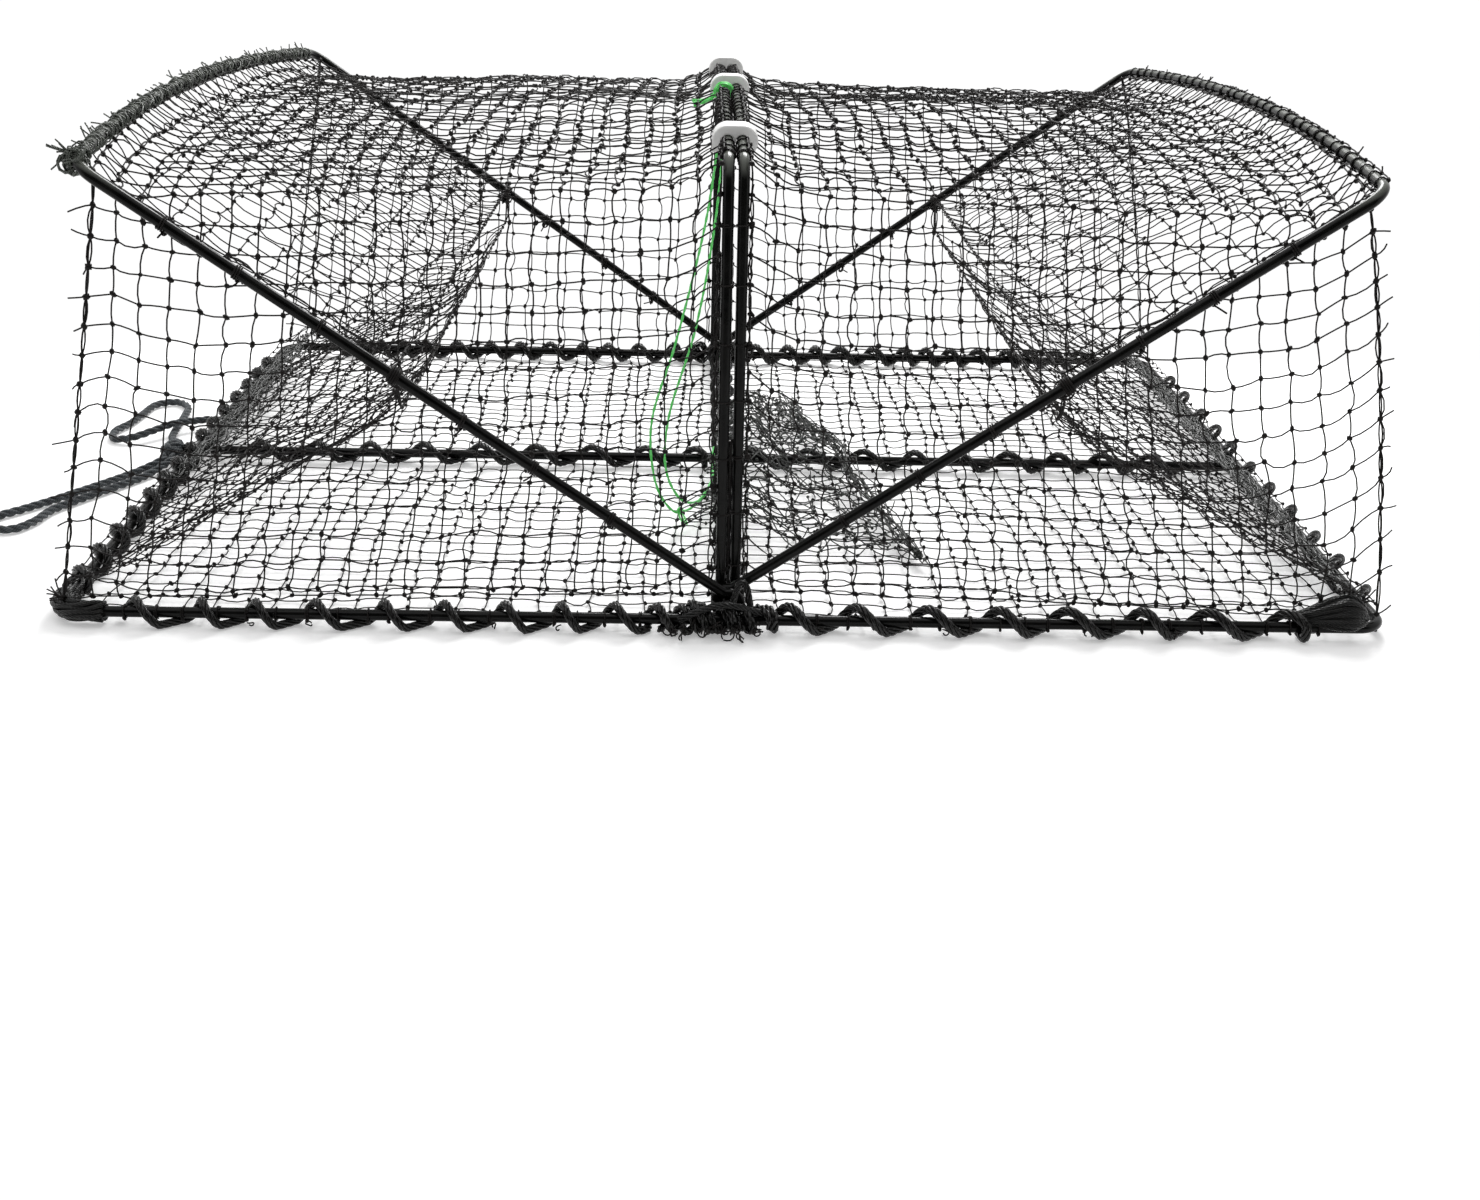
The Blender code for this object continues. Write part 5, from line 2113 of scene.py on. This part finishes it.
@dataclass
class BaitBag:
    """The empty net pouch that lies crumpled over the crossing of the base's two inner rods."""

    shop: Workshop
    left: tuple = (
        (-0.025, -0.137), (-0.024, -0.120), (-0.012, -0.104), (-0.009, -0.080), (-0.009, -0.035),
        (-0.008, 0.010), (0.004, 0.055), (0.027, 0.113),
    )
    right: tuple = (
        (0.097, -0.147), (0.087, -0.105), (0.076, -0.050), (0.066, -0.005), (0.057, 0.045), (0.043, 0.113),
    )
    floor_gap: float = 0.0048
    over_rods: tuple[float, float] = (0.0180, 0.0127)
    swell: float = 0.0215
    drape: float = 0.016
    wide: float = 0.092
    deep: float = 0.250
    cell: float = 0.0120
    sizes: TrapSizes = SIZES

    def draped(self, x: float, y: float) -> float:
        """Height of slack netting that lies over the two rods and on the floor net beside them.

        Args:
            x: Place along the trap's length.
            y: Place along its depth.

        Returns:
            The height.
        """
        height = self.floor_gap
        for top, distance in zip(self.over_rods, (abs(x), abs(y))):
            away = min(1.0, max(0.0, distance / self.drape - 1))
            height = max(height, top + (self.floor_gap - top) * away * away * (3 - 2 * away))
        return height

    def swelling(self, across: float, depth: float) -> float:
        """Share of the full swell at this place, with slanting folds."""
        crown = math.sin(math.pi * across) ** 0.7 * math.sin(math.pi * depth) ** 0.6
        return crown * (0.72 + 0.28 * math.cos(2 * math.pi * (1.5 * across + 1.2 * depth)))

    def spot(self, across: float, depth: float, rise: float) -> np.ndarray:
        """A point of the pouch: this share of the way across, back and up through its swell.

        Args:
            across: Share of the way across.
            depth: Share of the way back.
            rise: Share of the swell.

        Returns:
            The point.
        """
        row = depth * (len(self.rows[0]) - 1)
        k = min(int(row), len(self.rows[0]) - 2)
        left, right = (edge[k].lerp(edge[k + 1], row - k) for edge in self.rows)
        place = left.lerp(right, across)
        place.z = self.draped(place.x, place.y) + rise * self.swell * self.swelling(across, depth)
        return np.array(place)

    def layer(self, web: Web, turn: float, rise: float, over: tuple[float, float], kept: float) -> None:
        """Add a layer of netting turned in its plane, gathered where it passes the pouch's edges.

        Args:
            web: The web to add to.
            turn: Angle of the meshes against the pouch.
            rise: Share of the swell at which the layer lies.
            over: How far the netting reaches past the left and the right edge, in metres.
            kept: Share of the strands that show.
        """
        noise = self.shop.random
        reach = 0.17
        half = int(reach / self.cell)
        size = 2 * half
        shape = (size + 1, size + 1, 3)
        drift = NetSet(self.shop).drift(size, size, 0.0030) + noise.normal(0, 0.0012, shape)
        places, inside = np.zeros(shape), np.zeros(shape[:2], bool)
        for i in range(size + 1):
            for j in range(size + 1):
                a, b = (i - half) * self.cell, (j - half) * self.cell
                x = a * math.cos(turn) - b * math.sin(turn)
                y = a * math.sin(turn) + b * math.cos(turn)
                reach = over[0] if x < 0 else over[1]
                inside[i, j] = abs(x) < self.wide / 2 + reach and abs(y) < self.deep / 2 + 0.004
                across = min(1.0, max(0.0, x / self.wide + 0.5))
                depth = min(1.0, max(0.0, y / self.deep + 0.5))
                place = self.spot(across, depth, rise)
                past = max(0.0, abs(x) - self.wide / 2)
                place += drift[i, j] * (0.55 if past else 1.0)
                place[2] = max(place[2], self.draped(*place[:2]) + 0.0004 + 0.12 * past)
                places[i, j] = place
        numbers = {}
        for i, j in zip(*np.nonzero(inside)):
            numbers[i, j] = web.knot(places[i, j])
        for (i, j), start in numbers.items():
            for other in ((i + 1, j), (i, j + 1)):
                if other in numbers and noise.uniform() < kept:
                    web.strand(start, numbers[other], noise.normal(0, 0.0012, 3))

    def hem(self, web: Web) -> None:
        """Add the strands gathered along the right edge, down to a tip with a loose tail.

        Args:
            web: The web that takes the strands.
        """
        noise = self.shop.random
        edge = self.rows[1]
        for k in range(12):
            last = len(edge) if k < 9 else int(noise.uniform(0.5, 0.9) * len(edge))
            shift, height = noise.normal(-0.0008, 0.0038), noise.uniform(0.0008, 0.0085)
            places = []
            for i in range(0, last, 2):
                share = i / len(edge)
                narrow = 0.25 + 0.75 * min(1, share * 4)
                side = (shift + 0.0020 * math.sin(0.5 * i + k)) * narrow
                place = edge[i] + Vector((side + noise.normal(0, 0.0004), 0, 0))
                place.z = self.draped(place.x, place.y) + height * narrow + noise.normal(0, 0.0003)
                places.append(place)
            web.line(places)
            for place in places[1:-1:3]:
                if noise.uniform() < 0.6:
                    web.knot(place)
        tip = edge[0].copy()
        tip.z = 0.0065
        for _ in range(7):
            back = edge[5] + Vector(noise.normal(0, 0.0012, 3))
            back.z = 0.0075
            web.span(tip, back, noise.normal(0, 0.0006, 3), 4, 0.0)
        web.clump(tip + Vector((-0.001, 0.003, 0)), 0.0022, 9, noise)
        tail = ((0, 0, 0), (0.003, -0.007, -0.001), (0.004, -0.014, -0.003), (0.001, -0.021, -0.0035))
        web.line(smooth_line([tip + Vector(step) for step in tail], 0.002))
        for at in (9, 14, 22):
            web.tag(edge[at] + Vector((0.002, 0, 0.008)), Vector((0.5, 0.3, 0.6)), 0.008, noise)

    def build(self) -> None:
        """Make the pouch as crumpled layers of netting with a gathered hem."""
        count = 64
        rows = [smooth_line([(x, y, 0) for x, y in edge], 0.004) for edge in (self.left, self.right)]
        self.rows = [[row[round(i * (len(row) - 1) / count)] for i in range(count + 1)] for row in rows]
        web = Web()
        self.layer(web, math.radians(24), 0.03, (0.002, 0.008), 0.70)
        self.layer(web, math.radians(-38), 0.97, (0.004, 0.012), 0.95)
        self.layer(web, math.radians(5), 0.55, (0.000, 0.004), 0.40)
        self.hem(web)
        obj = self.shop.web("bait_pouch", web, POUCH, 0.00034, 0.00092, 51)
        self.shop.fit(obj, POUCH, "base", "bait_bag")


@dataclass
class Clips:
    """The three white clips on the inner crossbars."""

    shop: Workshop
    length: float = 0.011
    wall: float = 0.0042
    leg: float = 0.005
    web: float = 0.001
    edge: float = 0.0007
    lip: float = math.radians(-50)
    sizes: TrapSizes = SIZES

    def outline(self) -> list[tuple[float, float]]:
        """The clip's outline in its own plane, round the right bar and over the left one.

        Returns:
            The outline's points in order.
        """
        bore = self.sizes.rod_radius + self.sizes.clearance
        outer = bore + self.wall
        spacing = 2 * self.sizes.bar_x
        web = math.asin(self.web / bore)

        def arc(x: float, radius: float, start: float, end: float, steps: int) -> list[tuple[float, float]]:
            """Points of an arc about a bar."""
            angles = [start + (end - start) * i / steps for i in range(steps + 1)]
            return [(x + radius * math.cos(a), radius * math.sin(a)) for a in angles]

        return [
            *arc(0.0, outer, self.lip, math.pi / 2, 22),
            *arc(-spacing, outer, math.pi / 2, math.pi, 14),
            (-spacing - outer, -self.leg),
            (-spacing - bore, -self.leg),
            *arc(-spacing, bore, math.pi, -web, 24),
            *arc(0.0, bore, math.pi + web, self.lip, 26),
        ]

    def build(self) -> None:
        """Make each clip with rounded edges."""
        s = self.sizes
        outline = self.outline()
        for name, share in CLIP_SHARES.items():
            y = -s.inner_top_y + share * 2 * s.inner_top_y
            slope = -2 * s.inner_arch * y / s.inner_top_y**2
            curve = bpy.data.curves.new(f"{name}_white_clip", "CURVE")
            curve.dimensions = "2D"
            curve.fill_mode = "BOTH"
            curve.extrude = self.length / 2 - self.edge
            curve.bevel_depth = self.edge
            curve.bevel_resolution = 3
            curve.offset = -self.edge
            spline = curve.splines.new("POLY")
            spline.points.add(len(outline) - 1)
            for point, (x, z) in zip(spline.points, outline):
                point.co = (x, z, 0, 1)
            spline.use_cyclic_u = True
            shape = self.shop.link("clip_shape", curve)
            mesh = bpy.data.meshes.new_from_object(shape)
            bpy.data.objects.remove(shape)
            turn = Matrix.Rotation(math.pi / 2 + math.atan(slope), 4, "X")
            mesh.transform(Matrix.Translation(s.inner_bar(1, y)) @ turn)
            mesh.materials.clear()
            mesh.materials.append(self.shop.material(PLASTIC))
            mesh.shade_smooth()
            obj = self.shop.link(f"{name}_white_clip", mesh)
            self.shop.fit(obj, PLASTIC, f"{name}_clip", f"clip_{name}")


# Studio


@dataclass
class Studio:
    """The pale floor, soft lamps and the camera at the photograph's angle."""

    shop: Workshop
    place: tuple[float, float, float] = (-0.01693, -0.90155, 0.3133)
    aim: tuple[float, float, float] = (0.01256, 0.0, -0.08273)
    roll: float = math.radians(-1.547)
    lens: float = 40.06
    near: float = 0.36
    far: float = 0.75
    behind: tuple[float, float] = (0.232, 0.27)
    glow: float = 0.31
    ambient: float = 0.48

    def camera(self) -> None:
        """Make the camera."""
        data = bpy.data.cameras.new("view")
        data.lens = self.lens
        data.sensor_width = 36
        data.clip_end = 20
        camera = self.shop.link("view", data)
        look = Vector(self.aim) - Vector(self.place)
        turn = look.to_track_quat("-Z", "Y").to_matrix() @ Matrix.Rotation(-self.roll, 3, "Z")
        camera.matrix_world = Matrix.Translation(self.place) @ turn.to_4x4()
        bpy.context.scene.camera = camera

    def sheet(self, name: str, corners: list[tuple[float, float, float]], made: ShaderBuilder) -> None:
        """Make a flat sheet with these four corners, as part of the stage.

        Args:
            name: Name of the sheet.
            corners: Its four corners in order.
            made: The shader of its material.
        """
        mesh = bpy.data.meshes.new(name)
        mesh.from_pydata(corners, [], [(0, 1, 2, 3)])
        mesh.materials.append(made.material)
        self.shop.link(name, mesh)

    def floor(self) -> None:
        """Make the plain pale floor, which is evenly white away from the trap."""
        made = ShaderBuilder("pale_floor")
        made.fix(Roughness=0.9, Specular_IOR_Level=0.1, Emission_Color=(1.0, 1.0, 1.0, 1.0))
        rays = made.node("ShaderNodeLightPath").outputs
        seen = made.math("MAXIMUM", rays["Is Camera Ray"], rays["Is Glossy Ray"])
        away = made.node("ShaderNodeVectorMath", {0: made.place}, operation="LENGTH").outputs["Value"]
        fade = made.ramp(away, (self.near, self.far), interpolation_type="SMOOTHSTEP")
        most = made.math("MAXIMUM", fade, made.ramp(made.part(made.place, "Y"), self.behind))
        plain = made.math("MULTIPLY", seen, most)
        made.feed("Base Color", made.blend(plain, (0.90, 0.90, 0.90), (0.0, 0.0, 0.0)))
        rest = made.math("MULTIPLY", made.math("SUBTRACT", seen, plain), self.glow)
        made.feed("Emission Strength", made.math("ADD", rest, plain))
        half = 6.0
        corners = [(x * half, y * half, 0) for x, y in ((-1, -1), (1, -1), (1, 1), (-1, 1))]
        self.sheet("studio_floor", corners, made)

    def card(self) -> None:
        """Make a black card behind the camera, which only the rods and cords mirror."""
        made = ShaderBuilder("black_card")
        made.fix(Roughness=0.9, Specular_IOR_Level=0.0, Base_Color=(0.01, 0.01, 0.01, 1.0))
        made.feed("Alpha", made.node("ShaderNodeLightPath").outputs["Is Glossy Ray"])
        corners = [(x, -1.35, z) for x, z in ((-1.9, 0.02), (1.9, 0.02), (1.9, 1.5), (-1.9, 1.5))]
        self.sheet("black_card", corners, made)

    def lights(self) -> None:
        """Make the surroundings, which look white but light the trap less, and two soft lamps."""
        scene = bpy.context.scene
        scene.world = scene.world or bpy.data.worlds.new("studio")
        scene.world.use_nodes = True
        made = NodeBuilder(scene.world.node_tree)
        made.tree.nodes.clear()
        rays = made.node("ShaderNodeLightPath").outputs
        seen = made.math("MAXIMUM", rays["Is Camera Ray"], rays["Is Glossy Ray"])
        seen = made.math("MAXIMUM", seen, rays["Is Transmission Ray"])
        white = (1, 1, 1, 1)
        light, plain = (
            made.node("ShaderNodeBackground", {"Color": white, "Strength": strength}).outputs[0]
            for strength in (self.ambient, 1.0)
        )
        mix = made.node("ShaderNodeMixShader", {0: seen, 1: light, 2: plain})
        made.node("ShaderNodeOutputWorld", {0: mix.outputs[0]})
        for name, place, size, power in (
            ("key", (0.2, 1.0, 1.15), 0.7, 24.0),
            ("overhead", (-0.2, 0.0, 1.8), 1.8, 10.0),
        ):
            data = bpy.data.lights.new(name, "AREA")
            data.size = size
            data.energy = power
            lamp = self.shop.link(name, data)
            lamp.location = place
            lamp.rotation_euler = (-Vector(place)).to_track_quat("-Z", "Y").to_euler()
        scene.view_settings.view_transform = "Standard"

    def build(self) -> None:
        """Make the whole studio."""
        self.camera()
        self.floor()
        self.card()
        self.lights()


def main() -> None:
    """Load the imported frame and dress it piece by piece."""
    logging.basicConfig(level=logging.INFO, format="%(name)s: %(message)s")
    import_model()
    shop = Workshop()
    for part in (Studio, Cords, RodFrame, Lashings, NetSet, Lacings, BaitBag, Clips):
        part(shop).build()


if __name__ == "__main__":
    main()
